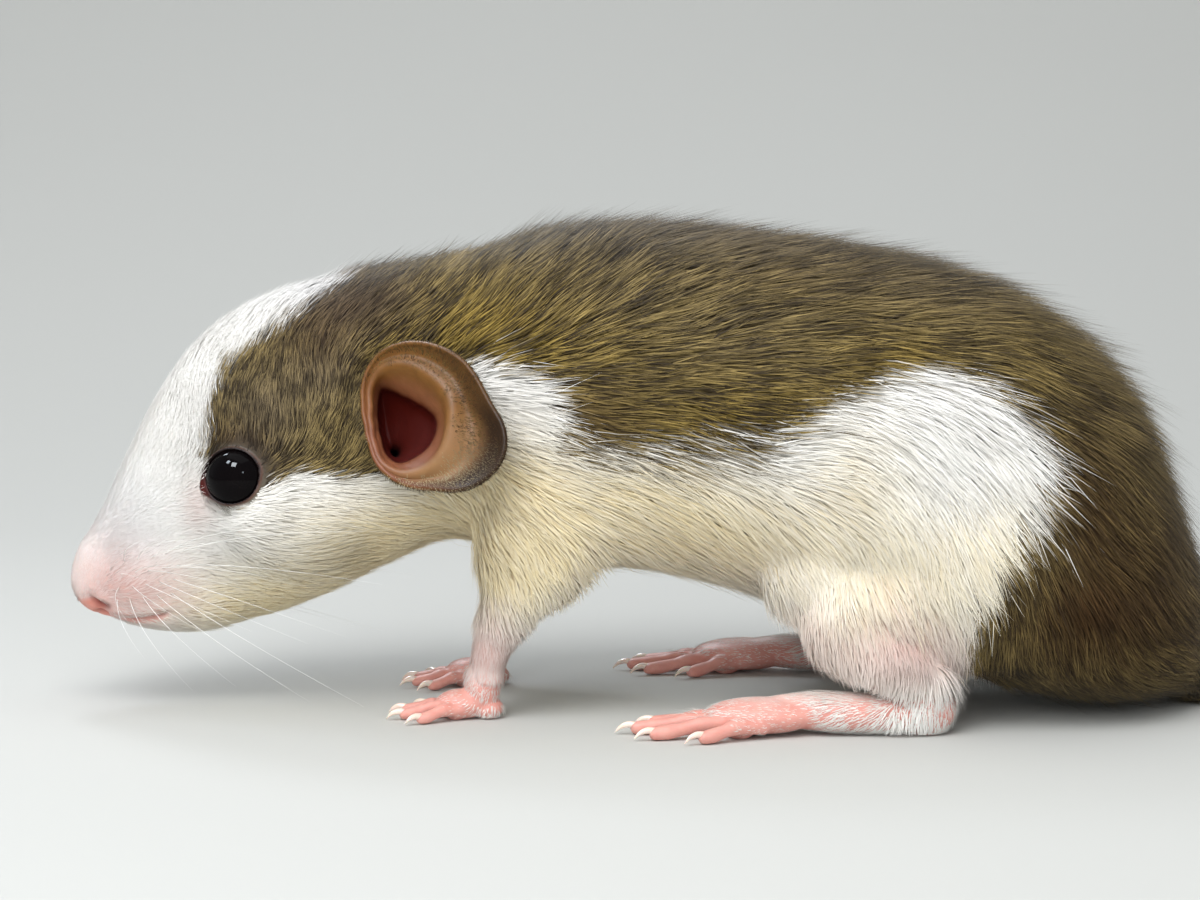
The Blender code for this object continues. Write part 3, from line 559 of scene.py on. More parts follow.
def inside_distance(places, outline):
    """Signed distance of flat places to a closed outline, positive inside."""
    outline = np.asarray(outline, float)
    nearest = np.full(len(places), np.inf)
    inside = np.zeros(len(places), bool)
    for start, end in zip(outline, np.roll(outline, -1, axis=0)):
        edge = end - start
        share = np.clip(((places - start) @ edge) / (edge @ edge), 0, 1)
        nearest = np.minimum(nearest, np.linalg.norm(places - start - share[:, None] * edge, axis=1))
        crosses = (start[1] > places[:, 1]) != (end[1] > places[:, 1])
        with np.errstate(divide="ignore", invalid="ignore"):
            at = start[0] + (places[:, 1] - start[1]) / (end[1] - start[1]) * edge[0]
        inside ^= crosses & (places[:, 0] < at)
    return np.where(inside, nearest, -nearest)


def ripple(points, size, seed):
    """Smooth noise from -1 to 1 that changes over about the given size in metres."""
    rng = np.random.default_rng(seed)
    total = np.zeros(len(points))
    for _ in range(7):
        wave = rng.normal(size=3)
        wave *= rng.uniform(0.6, 1.4) / np.linalg.norm(wave) * 2 * math.pi / size
        total += np.sin(points @ wave + rng.uniform(0, 2 * math.pi))
    return total / 3.2


def brown_share(points, grain=0.0):
    """How brown the coat is at each point, from 0, white, to 1. grain lets each tuft fall to one side."""
    places = side_view(points)
    distance = inside_distance(places, BROWN)
    distance += 0.35 * ripple(points, 4 * MM, 3) + 0.2 * ripple(points, 1.6 * MM, 4)
    x, z, reach_x, reach_z = FLANK_MIX
    mix = bell((places[:, 0] - x) / reach_x, (places[:, 1] - z) / reach_z)
    distance += grain * (0.3 + 1.7 * mix)
    return np.clip(0.5 + distance / (0.8 + 3.0 * mix), 0, 1)


def tint(points, patches):
    """Strength of a tint at each point, as soft patches laid out in the side view."""
    x, z = side_view(points).T
    total = np.zeros(len(points))
    for centre_x, centre_z, reach_x, reach_z, strength in patches:
        total += strength * bell((x - centre_x) / reach_x, (z - centre_z) / reach_z)
    return np.clip(total, 0, 1)


def colour_fields(points, grain=0.0):
    """The masks that colour skin and coat alike."""
    fields = {"brown": brown_share(points, grain)}
    fields.update({name: tint(points, patches) for name, patches in TINTS.items()})
    return fields


def coat_zones(points):
    """Flow, lift, length, width and crowding of the coat at each point."""
    places = np.column_stack([points[:, 0], points[:, 2]]) / MM
    weights = []
    for zone in ZONES.values():
        away = np.hypot(places[:, 0] - zone.x, places[:, 1] - zone.z) / zone.reach
        weights.append(1.0 / (ZONE_CORE + away**4))
    weights = np.array(weights)
    weights /= weights.sum(axis=0)
    rows = {name: np.array([getattr(zone, name) for zone in ZONES.values()]) for name in Zone._fields}
    flow = np.radians(rows["flow"])
    ahead, up = weights.T @ np.cos(flow), weights.T @ np.sin(flow)
    return {
        "flow": np.column_stack([ahead, np.zeros(len(points)), up]),
        "lift": np.radians(weights.T @ rows["lift"]),
        "length": weights.T @ rows["length"] * MM,
        "width": weights.T @ rows["width"] * MM,
        "crowd": weights.T @ rows["crowd"] * COAT_CROWD,
    }


def eye_distance(points):
    """Distance from each point to the nearer eyeball's centre, in mm."""
    away = [np.linalg.norm(points - np.array(eye_centre(name)[0]), axis=1) for name in SIDES]
    return np.minimum(*away) / MM


def coat_depth(points):
    """How far the skin lies inside the solids: the depth of the coat, less round the eyes."""
    zones = coat_zones(points)
    near_eye = 0.25 + 0.75 * smoothstep(3.2, 7.5, eye_distance(points))
    return COAT_DEPTH * zones["length"] * np.sin(zones["lift"] + 0.08) * near_eye


def foot_share(points):
    """1 on the bare feet and tail, 0 on the furred body, soft at wrist, heel and tail root."""
    x, y, z = (points / MM).T
    wrist = 1 - smoothstep(2.6, 4.6, z + 0.1 * np.abs(x + 49))
    fore = wrist * (x < -40)
    heel = 1 - smoothstep(2.6, 4.4, z)
    hind = heel * (x > -40) * (x < -3) * (np.abs(y) > 8)
    tail = smoothstep(16.2, 18.5, x)
    return np.maximum(np.maximum(fore, hind), tail)


# Shapes of the flesh


def flesh_mesh():
    """The flesh nodes, each swollen a little so that their thin cuts close, and the roots of the ears."""
    meshes = []
    for name in FLESH + ("eye_left", "eye_right"):
        mesh = NODES[name].data.copy()
        points, _ = arrays_of(mesh)
        move_vertices(mesh, points + vertex_normals(mesh) * SWELL * MM)
        meshes.append(mesh)
    centre, radii = EAR_ROOT
    for side in SIDES.values():
        meshes.append(ellipsoid_mesh(place(centre, side), [radius * MM for radius in radii]))
    joined = join_meshes("flesh", meshes)
    for mesh in meshes:
        bpy.data.meshes.remove(mesh)
    return joined


def smooth_folds(obj):
    """Round off the creases where belly and thigh and where chest and arm meet."""
    points, _ = arrays_of(obj.data)
    share = np.zeros(len(points))
    for centre, reach in FOLDS:
        away = np.abs(points) / MM * (-1, 1, 1) - centre
        share = np.maximum(share, bell(np.linalg.norm(away, axis=1) / reach))
    group = obj.vertex_groups.new(name="folds")
    for index in np.nonzero(share > 0.02)[0]:
        group.add([int(index)], float(share[index]), "REPLACE")
    add_smoothing(obj, "ease", 90).vertex_group = "folds"
    apply_modifiers(obj)
    obj.vertex_groups.clear()


def body_form():
    """Head, trunk and legs as one smooth surface under the coat."""
    obj = add_object("flesh", flesh_mesh())
    fuse(obj, BODY_GRAIN, 14)
    smooth_folds(obj)
    points, _ = arrays_of(obj.data)
    inset = (coat_depth(points) + SKIN_CLEAR * MM) * (1 - foot_share(points))
    from_nose = np.linalg.norm(points - np.array(NOSE_TIP) * MM, axis=1)
    inset -= NOSE_SWELLING * MM * bell(from_nose / (NOSE_REACH * MM))
    move_vertices(obj.data, points - vertex_normals(obj.data) * inset[:, None])
    add_smoothing(obj, "soften", 3)
    apply_modifiers(obj)
    return obj


def outline_radius(outline, angle):
    """Distance of a closed outline from the ear's middle in each direction, softened."""
    offset = np.asarray(outline) - EAR_MIDDLE
    turn = np.arctan2(offset[:, 1], offset[:, 0])
    order = np.argsort(turn)
    radius = np.interp(angle, turn[order], np.hypot(*offset.T)[order], period=2 * math.pi)
    for _ in range(6):
        radius = (np.roll(radius, 1) + 2 * radius + np.roll(radius, -1)) / 4
    return radius


def ear_levels():
    """The ear's rings from the bottom of its canal to the rim: place in the side view and depth, in mm."""
    angle = np.linspace(0, 2 * math.pi, EAR_SEGMENTS, endpoint=False)
    unit = np.column_stack([np.cos(angle), np.sin(angle)])
    canal = np.array(EAR_CANAL)
    rim, ridge, hollow = (
        np.array(EAR_MIDDLE) + unit * outline_radius(outline, angle)[:, None]
        for outline in (EAR_RIM, EAR_RIDGE, EAR_HOLLOW)
    )
    inward = hollow - canal
    aim = inward / np.linalg.norm(inward, axis=1)[:, None]
    top = np.clip(np.sin(angle - 0.35), 0, 1)
    rear = np.clip(np.cos(angle + 0.2), 0, 1)
    band = np.linalg.norm(rim - ridge, axis=1)
    crinkle = 0.10 * np.sin(5 * angle + 0.8) + 0.06 * np.sin(9 * angle)
    levels = [
        (canal + aim * 0.30, 7.4 + 0 * top),
        (canal + aim * 0.62, 5.6 + 0 * top),
        (canal + inward * 0.58, 4.7 - 0.5 * rear),
        (canal + inward * 0.90, 3.3 + 0.2 * top),
        (hollow, 1.25 + 0.75 * top + 0.2 * rear),
        (hollow + (ridge - hollow) * 0.55, 0.60 + 0.30 * top),
        (ridge, 0.12 + 0.1 * top),
        (ridge + (rim - ridge) * 0.45, 0.15 + 0.21 * band + crinkle * rear),
        (ridge + (rim - ridge) * 0.85, 0.05 + 0.10 * band),
        (rim, 0.0 * top),
    ]
    rows = np.array([np.column_stack([spot, depth]) for spot, depth in levels])
    return smooth_rows(rows.reshape(len(rows), -1), EAR_RINGS).reshape(EAR_RINGS, EAR_SEGMENTS, 3)


def view_rays(places):
    """Where the view from the side starts, and the direction in which it sees each place, in metres."""
    centre = np.array(VIEW_CENTRE)
    start = centre + np.array(VIEW_TOWARD) * VIEW_DISTANCE
    x = places[..., 0] * MM - centre[0]
    z = places[..., 1] * MM - centre[2]
    return start, centre + x[..., None] * np.array((1.0, 0.0, 0.0)) + z[..., None] * np.array(VIEW_UP) - start


def ear_middle(side_name):
    """The ear's middle surface as rings of points from the canal to the rim, and the way it faces."""
    rows = ear_levels()
    start, ray = view_rays(rows[..., :2])
    axis = np.array(EAR_AXIS)
    height = (np.array(place(EAR_PLANE)) - start) @ axis - rows[..., 2] * MM
    points = start + ray * (height / (ray @ axis))[..., None]
    side = SIDES[side_name]
    return points * (1, -side, 1), np.array(mirrored(EAR_AXIS, side))


def ring_normals(rings, out):
    """The direction in which the surface through the rings faces, on the side of out at their last ones."""
    around = np.roll(rings, -1, axis=1) - np.roll(rings, 1, axis=1)
    normals = np.cross(around, np.gradient(rings, axis=0))
    normals /= np.maximum(np.linalg.norm(normals, axis=2), TINY * MM)[..., None]
    return normals * np.sign(np.mean(normals[-8:] @ out))


def ear_mesh(side_name):
    """The pinna: a thin cup with a rounded edge."""
    middle, out = ear_middle(side_name)
    normals = ring_normals(middle, out)
    half = EAR_THICKNESS / 2 * MM
    inner, outer = middle + normals * half, middle - normals * half
    outward = middle[-1] - middle[-2]
    outward /= np.linalg.norm(outward, axis=1)[:, None]
    edge = ((0.7, 0.7), (1.0, 0.0), (0.7, -0.7))
    rim = [middle[-1] + outward * half * over + normals[-1] * half * up for over, up in edge]
    return closed_rings("ear", np.concatenate([inner, np.array(rim), outer[::-1]]))


def ear_hollow(side_name):
    """The closed space inside the cup, which is taken out of the head."""
    middle, out = ear_middle(side_name)
    lid = middle[-1] + out * 6 * MM
    return closed_rings("hollow", np.concatenate([middle, lid[None]]))


# Feet


class Toe(NamedTuple):
    """One toe: the floor under its root, the way it points, its length and radius, in metres and radians."""

    root: Vector
    heading: float
    reach: float
    radius: float


def foot_toes(kind, side_name):
    """The toes of a foot, laid out from the front of its node."""
    row = TOE_ROWS[kind]
    low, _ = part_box(f"{kind}_{side_name}")
    side = SIDES[side_name]
    toes = []
    for index in range(row.count):
        across = 2 * index / (row.count - 1) - 1
        back = row.root + ROOT_BOW * abs(across) ** 1.5 + row.sweep * across * across
        root = Vector((low[0] + back * MM, side * row.middle * MM + row.spread * MM * across, 0.0))
        reach = row.reach * MM * (1 - row.taper * across * across)
        toes.append(Toe(root, math.radians(180 - row.fan * across), reach, row.radius * MM))
    return toes


def toe_axes(toe):
    """The way a toe points, and up."""
    return Vector((math.cos(toe.heading), math.sin(toe.heading), 0)), Vector((0, 0, 1))


def toe_mesh(toe):
    """A toe with two knuckles and a round pad at its tip."""
    ahead, up = toe_axes(toe)
    r = toe.radius
    path = [toe.root - ahead * 1.5 * r + up * 1.6 * r]
    for along, height in ((0.12, 1.75), (0.42, 1.85), (0.62, 1.45), (0.84, 1.05), (1.0, 0.92)):
        path.append(toe.root + ahead * along * toe.reach + up * height * r)
    radii = np.array([1.1 * r, 0.98 * r, 1.06 * r, 0.88 * r, 0.98 * r, 0.86 * r])
    path, radii = round_ended(smooth_rows(path, TOE_RINGS), smooth_rows(radii[:, None], TOE_RINGS)[:, 0])
    return closed_rings("toe", tube_rings(path, radii, TOE_SIDES))


def claw_mesh(toe):
    """A curved claw out of the top of the toe's tip."""
    ahead, up = toe_axes(toe)
    r = toe.radius
    start = toe.root + ahead * (toe.reach + 0.1 * r) + up * 1.25 * r
    bends = ((0.0, 0.0), (1.0, 0.12), (2.0, -0.25), (2.7, -0.95))
    path = smooth_rows([start + ahead * along * r + up * rise * r for along, rise in bends], CLAW_RINGS)
    radii = np.interp(np.linspace(0, 1, CLAW_RINGS), [0, 0.5, 1], [0.28, 0.21, 0.03]) * MM
    return closed_rings("claw", tube_rings(path, radii, CLAW_SIDES, 1.2))


def foot_form(kind, side_name):
    """A foot under its skin: heel, sole pads and toes melted together, flat on the floor."""
    side = SIDES[side_name]
    meshes = [
        ellipsoid_mesh(place(centre, side), [radius * MM for radius in radii], lean)
        for centre, radii, lean in PADS[kind]
    ]
    meshes += [toe_mesh(toe) for toe in foot_toes(kind, side_name)]
    obj = add_object(kind, join_meshes(kind, meshes))
    fuse(obj, FOOT_GRAIN, 3)
    points, _ = arrays_of(obj.data)
    points[:, 2] = np.maximum(points[:, 2], SKIN_FLOOR * MM)
    move_vertices(obj.data, points)
    return obj


def tail_line(count):
    """Points along the middle of the tail and the radius at each."""
    share = np.linspace(0, 1, count)
    flat = smooth_rows(TAIL_PATH, count) * MM
    radius = (TAIL_BASE_RADIUS + (TAIL_TIP_RADIUS - TAIL_BASE_RADIUS) * share**0.85) * MM
    height = radius * 0.95 + 1.8 * MM * np.exp(-share / 0.06)
    return np.column_stack([flat, height]), radius


def tail_form():
    """The tail with its rings of scales."""
    path, radius = tail_line(TAIL_ROWS)
    length = np.concatenate([[0], np.cumsum(np.linalg.norm(np.diff(path, axis=0), axis=1))])
    pitch = np.interp(length, [0, length[-1]], [value * MM for value in TAIL_PITCH])
    phase = np.concatenate([[0], np.cumsum(np.diff(length) / pitch[1:])])
    step = (phase % 1.0) ** 1.5
    ring = radius * (1 + 0.035 * (step - 0.4))
    path, ring = round_ended(path, ring)
    rings = tube_rings(path, ring, TAIL_SIDES)
    rings[..., 2] = np.maximum(rings[..., 2], SKIN_FLOOR * MM)
    return add_object("tail", closed_rings("tail", rings))


# Finer forms of the face


def eye_centre(side_name):
    """The middle of an eyeball and its radius."""
    low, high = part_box(f"eye_{side_name}")
    return (Vector(low) + Vector(high)) / 2, (high[0] - low[0]) / 2


def refine(mesh, chosen):
    """Split the edges of the faces round the chosen vertices once."""
    bm = bmesh.new()
    bm.from_mesh(mesh)
    bm.verts.ensure_lookup_table()
    edges = {edge for index in np.nonzero(chosen)[0] for edge in bm.verts[index].link_edges}
    bmesh.ops.subdivide_edges(bm, edges=list(edges), cuts=1, use_grid_fill=True)
    bmesh.ops.triangulate(bm, faces=[face for face in bm.faces if len(face.verts) > 4])
    bm.to_mesh(mesh)
    bm.free()


def drop_folded_faces(mesh):
    """Take out pairs of faces on the same vertices, which splitting the faces of a union can leave."""
    bm = bmesh.new()
    bm.from_mesh(mesh)
    same = {}
    for face in bm.faces:
        same.setdefault(frozenset(vert.index for vert in face.verts), []).append(face)
    folded = [face for faces in same.values() if len(faces) > 1 for face in faces]
    bmesh.ops.delete(bm, geom=folded, context="FACES")
    bm.to_mesh(mesh)
    bm.free()


def turned(angle, direction):
    """How far an angle is turned from a direction, either way."""
    return np.abs(np.angle(np.exp(1j * (angle - direction))))


def shape_lids(points):
    """Draw the skin up each eyeball to the rims of its lids.

    Returns the points and three masks: the lids, their dark rims, and the moist red corner before the eye.
    """
    lid_mask, rim_mask, corner_mask = (np.zeros(len(points)) for _ in range(3))
    for name, side in SIDES.items():
        centre, radius = eye_centre(name)
        ball = radius / MM
        axis = np.array(mirrored(EYE_AXIS, side))
        offset = (points - np.array(centre)) / MM
        height = offset @ axis
        flat = offset - height[:, None] * axis
        rear = np.array((1.0, 0.0, 0.0)) - axis * axis[0]
        rear /= np.linalg.norm(rear)
        up = np.cross(rear, axis) * side
        u, v = flat @ rear, flat @ up
        angle = np.arctan2(v, u)
        away = np.hypot(u, v)
        shown = height > -1.6
        inner_corner = bell(turned(angle, INNER_CORNER) / 0.34)
        outer_corner = bell(turned(angle, OUTER_CORNER) / 0.33)
        wider = 0.16 * np.cos(angle) ** 2 + 0.10 * np.clip(np.cos(angle), 0, 1)
        wider = wider + 0.10 * np.clip(-np.sin(angle), 0, 1)
        ball_edge = LID_OPENING + wider
        edge = ball_edge + 0.72 * inner_corner + 0.12 * outer_corner
        skirt = math.sqrt((ball + LID_CLEAR) ** 2 - LID_CLIMB**2)
        on_ball = np.sqrt(np.clip((ball + LID_CLEAR) ** 2 - away**2, 0, None))
        lid_height = np.where(away < LID_CLIMB, on_ball, skirt - 0.95 * (away - LID_CLIMB))
        rim = bell((away - edge - LID_THICKNESS) / LID_THICKNESS)
        fold = bell((away - edge - 1.0) / 0.28) * np.clip(np.sin(angle), 0, 1)
        lid_height = lid_height + LID_THICKNESS * rim - 0.10 * fold
        share = (1 - smoothstep(edge + 0.55, edge + 2.9, away)) * shown
        new_height = height + (np.maximum(lid_height, height - 0.4) - height) * share
        under = (1 - smoothstep(ball_edge - 0.10, ball_edge + 0.05, away)) * shown
        sunk = np.sqrt(np.clip((ball - 0.5) ** 2 - away**2, 0, None))
        new_height = new_height * (1 - under) + sunk * under
        points = points + axis * ((new_height - height) * MM)[:, None]
        lid_mask = np.maximum(lid_mask, shown * (1 - smoothstep(edge + 0.16, edge + 0.42, away)))
        dark = 1 - smoothstep(edge + 0.08, edge + 0.26, away - 0.08 * np.clip(np.sin(angle), 0, 1))
        rim_mask = np.maximum(rim_mask, shown * dark)
        corner = inner_corner * smoothstep(ball_edge - 0.05, ball_edge + 0.1, away) * (away < edge + 0.15)
        corner_mask = np.maximum(corner_mask, shown * corner)
    return points, lid_mask, rim_mask, corner_mask


def mouth_height(x):
    """Height of the mouth's line at a place along the animal, both in mm."""
    return np.interp(x, *MOUTH_LINE)


def lip_share(points):
    """1 on the thinly furred lip along the mouth's line."""
    x, _, z = (points / MM).T
    return bell((z - mouth_height(x)) / 0.9) * smoothstep(-77.5, -79.0, x)


def shape_muzzle(points, normals):
    """Nostrils, the cleft below the nose, the line of the mouth and the lip over it.

    Returns the points and the masks of nostrils and mouth.
    """
    x, y, z = (points / MM).T
    front = smoothstep(-82.8, -83.8, x)
    along = (x - NOSTRIL_X) * NOSTRIL_SLANT[0] + (z - NOSTRIL_Z) * NOSTRIL_SLANT[1]
    off = (z - NOSTRIL_Z) * NOSTRIL_SLANT[0] - (x - NOSTRIL_X) * NOSTRIL_SLANT[1]
    beside = smoothstep(0.7, 1.2, np.abs(y))
    nostril = bell(along / 0.95, (off - 0.25 * along**2) / 0.40) * front * beside
    wing = bell(along / 1.1, (off - 0.85) / 0.42) * front * beside
    groove = bell(y / 0.16) * front * (z < 12.4)
    cleft = bell(y / 0.24) * front * (1 - smoothstep(8.9, 9.6, z))
    span = smoothstep(-77.8, -78.6, x) * smoothstep(-85.6, -84.9, x)
    over_mouth = z - mouth_height(x)
    mouth = bell(over_mouth / 0.22) * span
    lip = bell((over_mouth - 0.7) / 0.45) * span
    push = -0.85 * nostril + 0.22 * wing - 0.12 * groove - 0.4 * cleft - 0.5 * mouth + 0.16 * lip
    return points + normals * (push * MM)[:, None], nostril, mouth


def nose_share(points):
    """1 on the bare pad of the nose, 0 on furred skin."""
    x, y, z = (points / MM).T
    pad = np.sqrt(((x + 85.3) / 2.0) ** 2 + (y / 3.2) ** 2 + ((z - 9.1) / 1.6) ** 2)
    below = np.hypot(y / 0.5, (z - 8.9) / 0.9)
    strip = (1 - smoothstep(0.8, 1.1, below)) * smoothstep(-82.6, -83.6, x)
    return np.maximum(1 - smoothstep(0.72, 1.12, pad), strip)


def ear_field(points, reach=EAR_REACH):
    """Where points lie round the nearer ear, up to a reach in mm.

    Gives each point's distance, its ring's share from canal to rim, its direction round the ear, 1 on the
    hollow side, and the way from the ear's middle.
    """
    field = {key: np.zeros(len(points)) for key in ("share", "angle", "inside")}
    field["distance"] = np.full(len(points), FAR)
    field["outward"] = np.zeros((len(points), 3))
    angle = np.linspace(0, 2 * math.pi, EAR_SEGMENTS, endpoint=False)
    for name in SIDES:
        middle, out = ear_middle(name)
        normals = ring_normals(middle, out).reshape(-1, 3)
        flat = middle.reshape(-1, 3)
        tree = KDTree(len(flat))
        for index, point in enumerate(flat):
            tree.insert(point, index)
        tree.balance()
        centre = middle[-1].mean(axis=0)
        near = np.linalg.norm(points - centre, axis=1) < (EAR_RADIUS + reach) * MM
        for index in np.nonzero(near)[0]:
            _, found, distance = tree.find(points[index])
            if distance > reach * MM:
                continue
            field["distance"][index] = distance
            field["share"][index] = (found // EAR_SEGMENTS) / (EAR_RINGS - 1)
            field["angle"][index] = angle[found % EAR_SEGMENTS]
            field["inside"][index] = (points[index] - flat[found]) @ normals[found] > 0
            field["outward"][index] = points[index] - centre
    return field


def fold_share(ear):
    """1 on the dark fold low at the rear of the ear's rim, less on the band above it."""
    rear = np.clip(1.2 * np.clip(np.cos(ear["angle"] + 0.38), 0, 1) ** 2.5, 0, 1)
    upper = 0.5 * np.clip(np.cos(ear["angle"] - 0.3), 0, 1) ** 2
    rear = rear * smoothstep(0.76, 0.88, ear["share"])
    return np.maximum(rear, upper * smoothstep(0.70, 0.84, ear["share"]))


def lobe_share(ear):
    """1 on the pale lobe at the bottom of the ear."""
    low = np.clip(np.cos(ear["angle"] + 0.85), 0, 1) ** 2
    band = smoothstep(0.56, 0.68, ear["share"])
    return low * band * (1 - smoothstep(0.80, 0.92, ear["share"])) * ear["inside"]


def store(mesh, name, values):
    """Keep a value for each vertex, for the materials to read."""
    attribute = mesh.attributes.new(name, "FLOAT", "POINT")
    attribute.data.foreach_set("value", np.ascontiguousarray(values, np.float32))


# Materials

NODES_IN_ROW = 8
NODE_STEP = (220, 240)


class NodeWriter:
    """Places shader nodes in rows and links their inputs, by name or, where names repeat, by number."""

    def __init__(self, tree):
        self.tree = tree
        self.count = 0

    def add(self, kind, settings=None, **inputs):
        node = self.tree.nodes.new(kind)
        row, column = divmod(self.count, NODES_IN_ROW)
        node.location = (NODE_STEP[0] * column - 1600, -NODE_STEP[1] * row)
        self.count += 1
        for key, value in (settings or {}).items():
            setattr(node, key, value)
        for key, value in inputs.items():
            self.feed(node, key.replace("_", " "), value)
        return node

    def feed(self, node, key, value):
        socket = node.inputs[int(key)] if key.isdigit() else node.inputs[key]
        if isinstance(value, bpy.types.NodeSocket):
            self.tree.links.new(value, socket)
        else:
            socket.default_value = value

    def attribute(self, name):
        return self.add("ShaderNodeAttribute", {"attribute_name": name}).outputs["Fac"]

    def multiply(self, value, share):
        node = self.add("ShaderNodeMath", {"operation": "MULTIPLY", "use_clamp": True})
        self.feed(node, "0", value)
        self.feed(node, "1", share)
        return node.outputs[0]

    def mix(self, factor, first, second, blend="MIX"):
        node = self.add("ShaderNodeMix", {"data_type": "RGBA", "blend_type": blend})
        self.feed(node, "0", factor)
        self.feed(node, "6", first)
        self.feed(node, "7", second)
        return node.outputs[2]

    def ramp(self, factor, stops):
        node = self.add("ShaderNodeValToRGB", Fac=factor)
        elements = node.color_ramp.elements
        while len(elements) < len(stops):
            elements.new(0.5)
        for element, (position, shade) in zip(elements, stops):
            element.position = position
            element.color = shade
        return node.outputs["Color"]

    def noise(self, scale, detail=3.0, stretch=(1, 1, 1)):
        where = self.add("ShaderNodeTexCoord").outputs["Object"]
        mapping = self.add("ShaderNodeMapping", Vector=where, Scale=stretch)
        node = self.add("ShaderNodeTexNoise", Vector=mapping.outputs["Vector"], Scale=scale, Detail=detail)
        return node.outputs["Fac"]

    def group(self, tree, **inputs):
        return self.add("ShaderNodeGroup", {"node_tree": tree}, **inputs).outputs["Color"]


def colour(red, green, blue):
    """An sRGB colour from 0 to 255 as linear values."""
    def linear(value):
        value /= 255
        return value / 12.92 if value <= 0.04045 else ((value + 0.055) / 1.055) ** 2.4

    return (linear(red), linear(green), linear(blue), 1.0)


def new_group(name, colours, values):
    """A shader node group with the named inputs and one colour as output, and a writer for its nodes."""
    group = bpy.data.node_groups.new(name, "ShaderNodeTree")
    for kind, labels in (("NodeSocketColor", colours), ("NodeSocketFloat", values)):
        for label in labels:
            group.interface.new_socket(label, in_out="INPUT", socket_type=kind)
    group.interface.new_socket("Color", in_out="OUTPUT", socket_type="NodeSocketColor")
    writer = NodeWriter(group)
    return group, writer, writer.add("NodeGroupInput").outputs


def coat_colour_group():
    """The coat's colour at a share along a hair: white dimmed by grey patches, with cream and pink, or banded
    brown with tints; on the muzzle the grey is painted shade.
    """
    name = "coat colour"
    if name in bpy.data.node_groups:
        return bpy.data.node_groups[name]
    labels = ["Along", "Tone"] + [mask.capitalize() for mask in COLOUR_MASKS]
    group, writer, inputs = new_group(name, (), labels)

    def hair(kind):
        return writer.ramp(inputs["Along"], [(share, colour(*shade)) for share, shade in HAIR_COLOURS[kind]])

    brown = writer.mix(inputs["Gold"], hair("banded"), hair("golden"))
    brown = writer.mix(inputs["Grey"], brown, hair("greyish"))
    is_guard = writer.ramp(inputs["Tone"], [(0.10, (0.85, 0.85, 0.85, 1)), (0.42, (0, 0, 0, 1))])
    brown = writer.mix(is_guard, brown, hair("guard"))
    brown = writer.mix(inputs["Dark"], brown, hair("deep"))
    light = writer.ramp(inputs["Tone"], [(0.15, (0.50, 0.48, 0.45, 1)), (1.0, (1.25, 1.22, 1.16, 1))])
    brown = writer.mix(0.8, brown, light, "MULTIPLY")
    # Grey over white fur dims it toward a flat grey, which on the muzzle is painted shade.
    white = writer.mix(inputs["Grey"], hair("pale"), colour(214, 213, 214))
    white = writer.mix(inputs["Cream"], white, hair("cream"))
    white = writer.mix(inputs["Pink"], white, hair("pink"))
    result = writer.mix(inputs["Brown"], white, brown)
    writer.feed(writer.add("NodeGroupOutput"), "Color", result)
    return group


def coat_colour(writer, along, tone):
    """Place the coat's colours in a material, fed by the masks of its mesh."""
    masks = {mask.capitalize(): writer.attribute(mask) for mask in COLOUR_MASKS}
    return writer.group(coat_colour_group(), Along=along, Tone=tone, **masks)


def mottling_group():
    """Soft uneven patches of tone, from noise."""
    name = "mottling"
    if name in bpy.data.node_groups:
        return bpy.data.node_groups[name]
    group, writer, inputs = new_group(name, ("Color",), ("Scale", "Amount"))
    where = writer.add("ShaderNodeTexCoord").outputs["Object"]
    noise = writer.add("ShaderNodeTexNoise", Vector=where, Scale=inputs["Scale"], Detail=4.0)
    tone = writer.ramp(noise.outputs["Fac"], [(0.32, (0.62, 0.60, 0.58, 1)), (0.68, (1, 1, 1, 1))])
    result = writer.mix(inputs["Amount"], inputs["Color"], tone, "MULTIPLY")
    writer.feed(writer.add("NodeGroupOutput"), "Color", result)
    return group


def new_material(name, **values):
    """A material with the given values on its shader's own sockets, and a writer for its nodes."""
    material = bpy.data.materials.new(name)
    material.use_nodes = True
    nodes = material.node_tree.nodes
    nodes["Material Output"].location = (700, 200)
    shader = nodes["Principled BSDF"]
    shader.location = (400, 200)
    for key, value in values.items():
        shader.inputs[key.replace("_", " ")].default_value = value
    return material, NodeWriter(material.node_tree), shader


def coat_material():
    """Fur, matt and soft, in the colours of its masks."""
    material, writer, shader = new_material(
        "coat", Roughness=0.7, Specular_IOR_Level=0.08, Sheen_Weight=0.10, Sheen_Roughness=0.5)
    tone = coat_colour(writer, writer.attribute("along"), writer.attribute("tone"))
    writer.feed(shader, "Base Color", writer.group(mottling_group(), Color=tone, Scale=220.0, Amount=0.3))
    return material


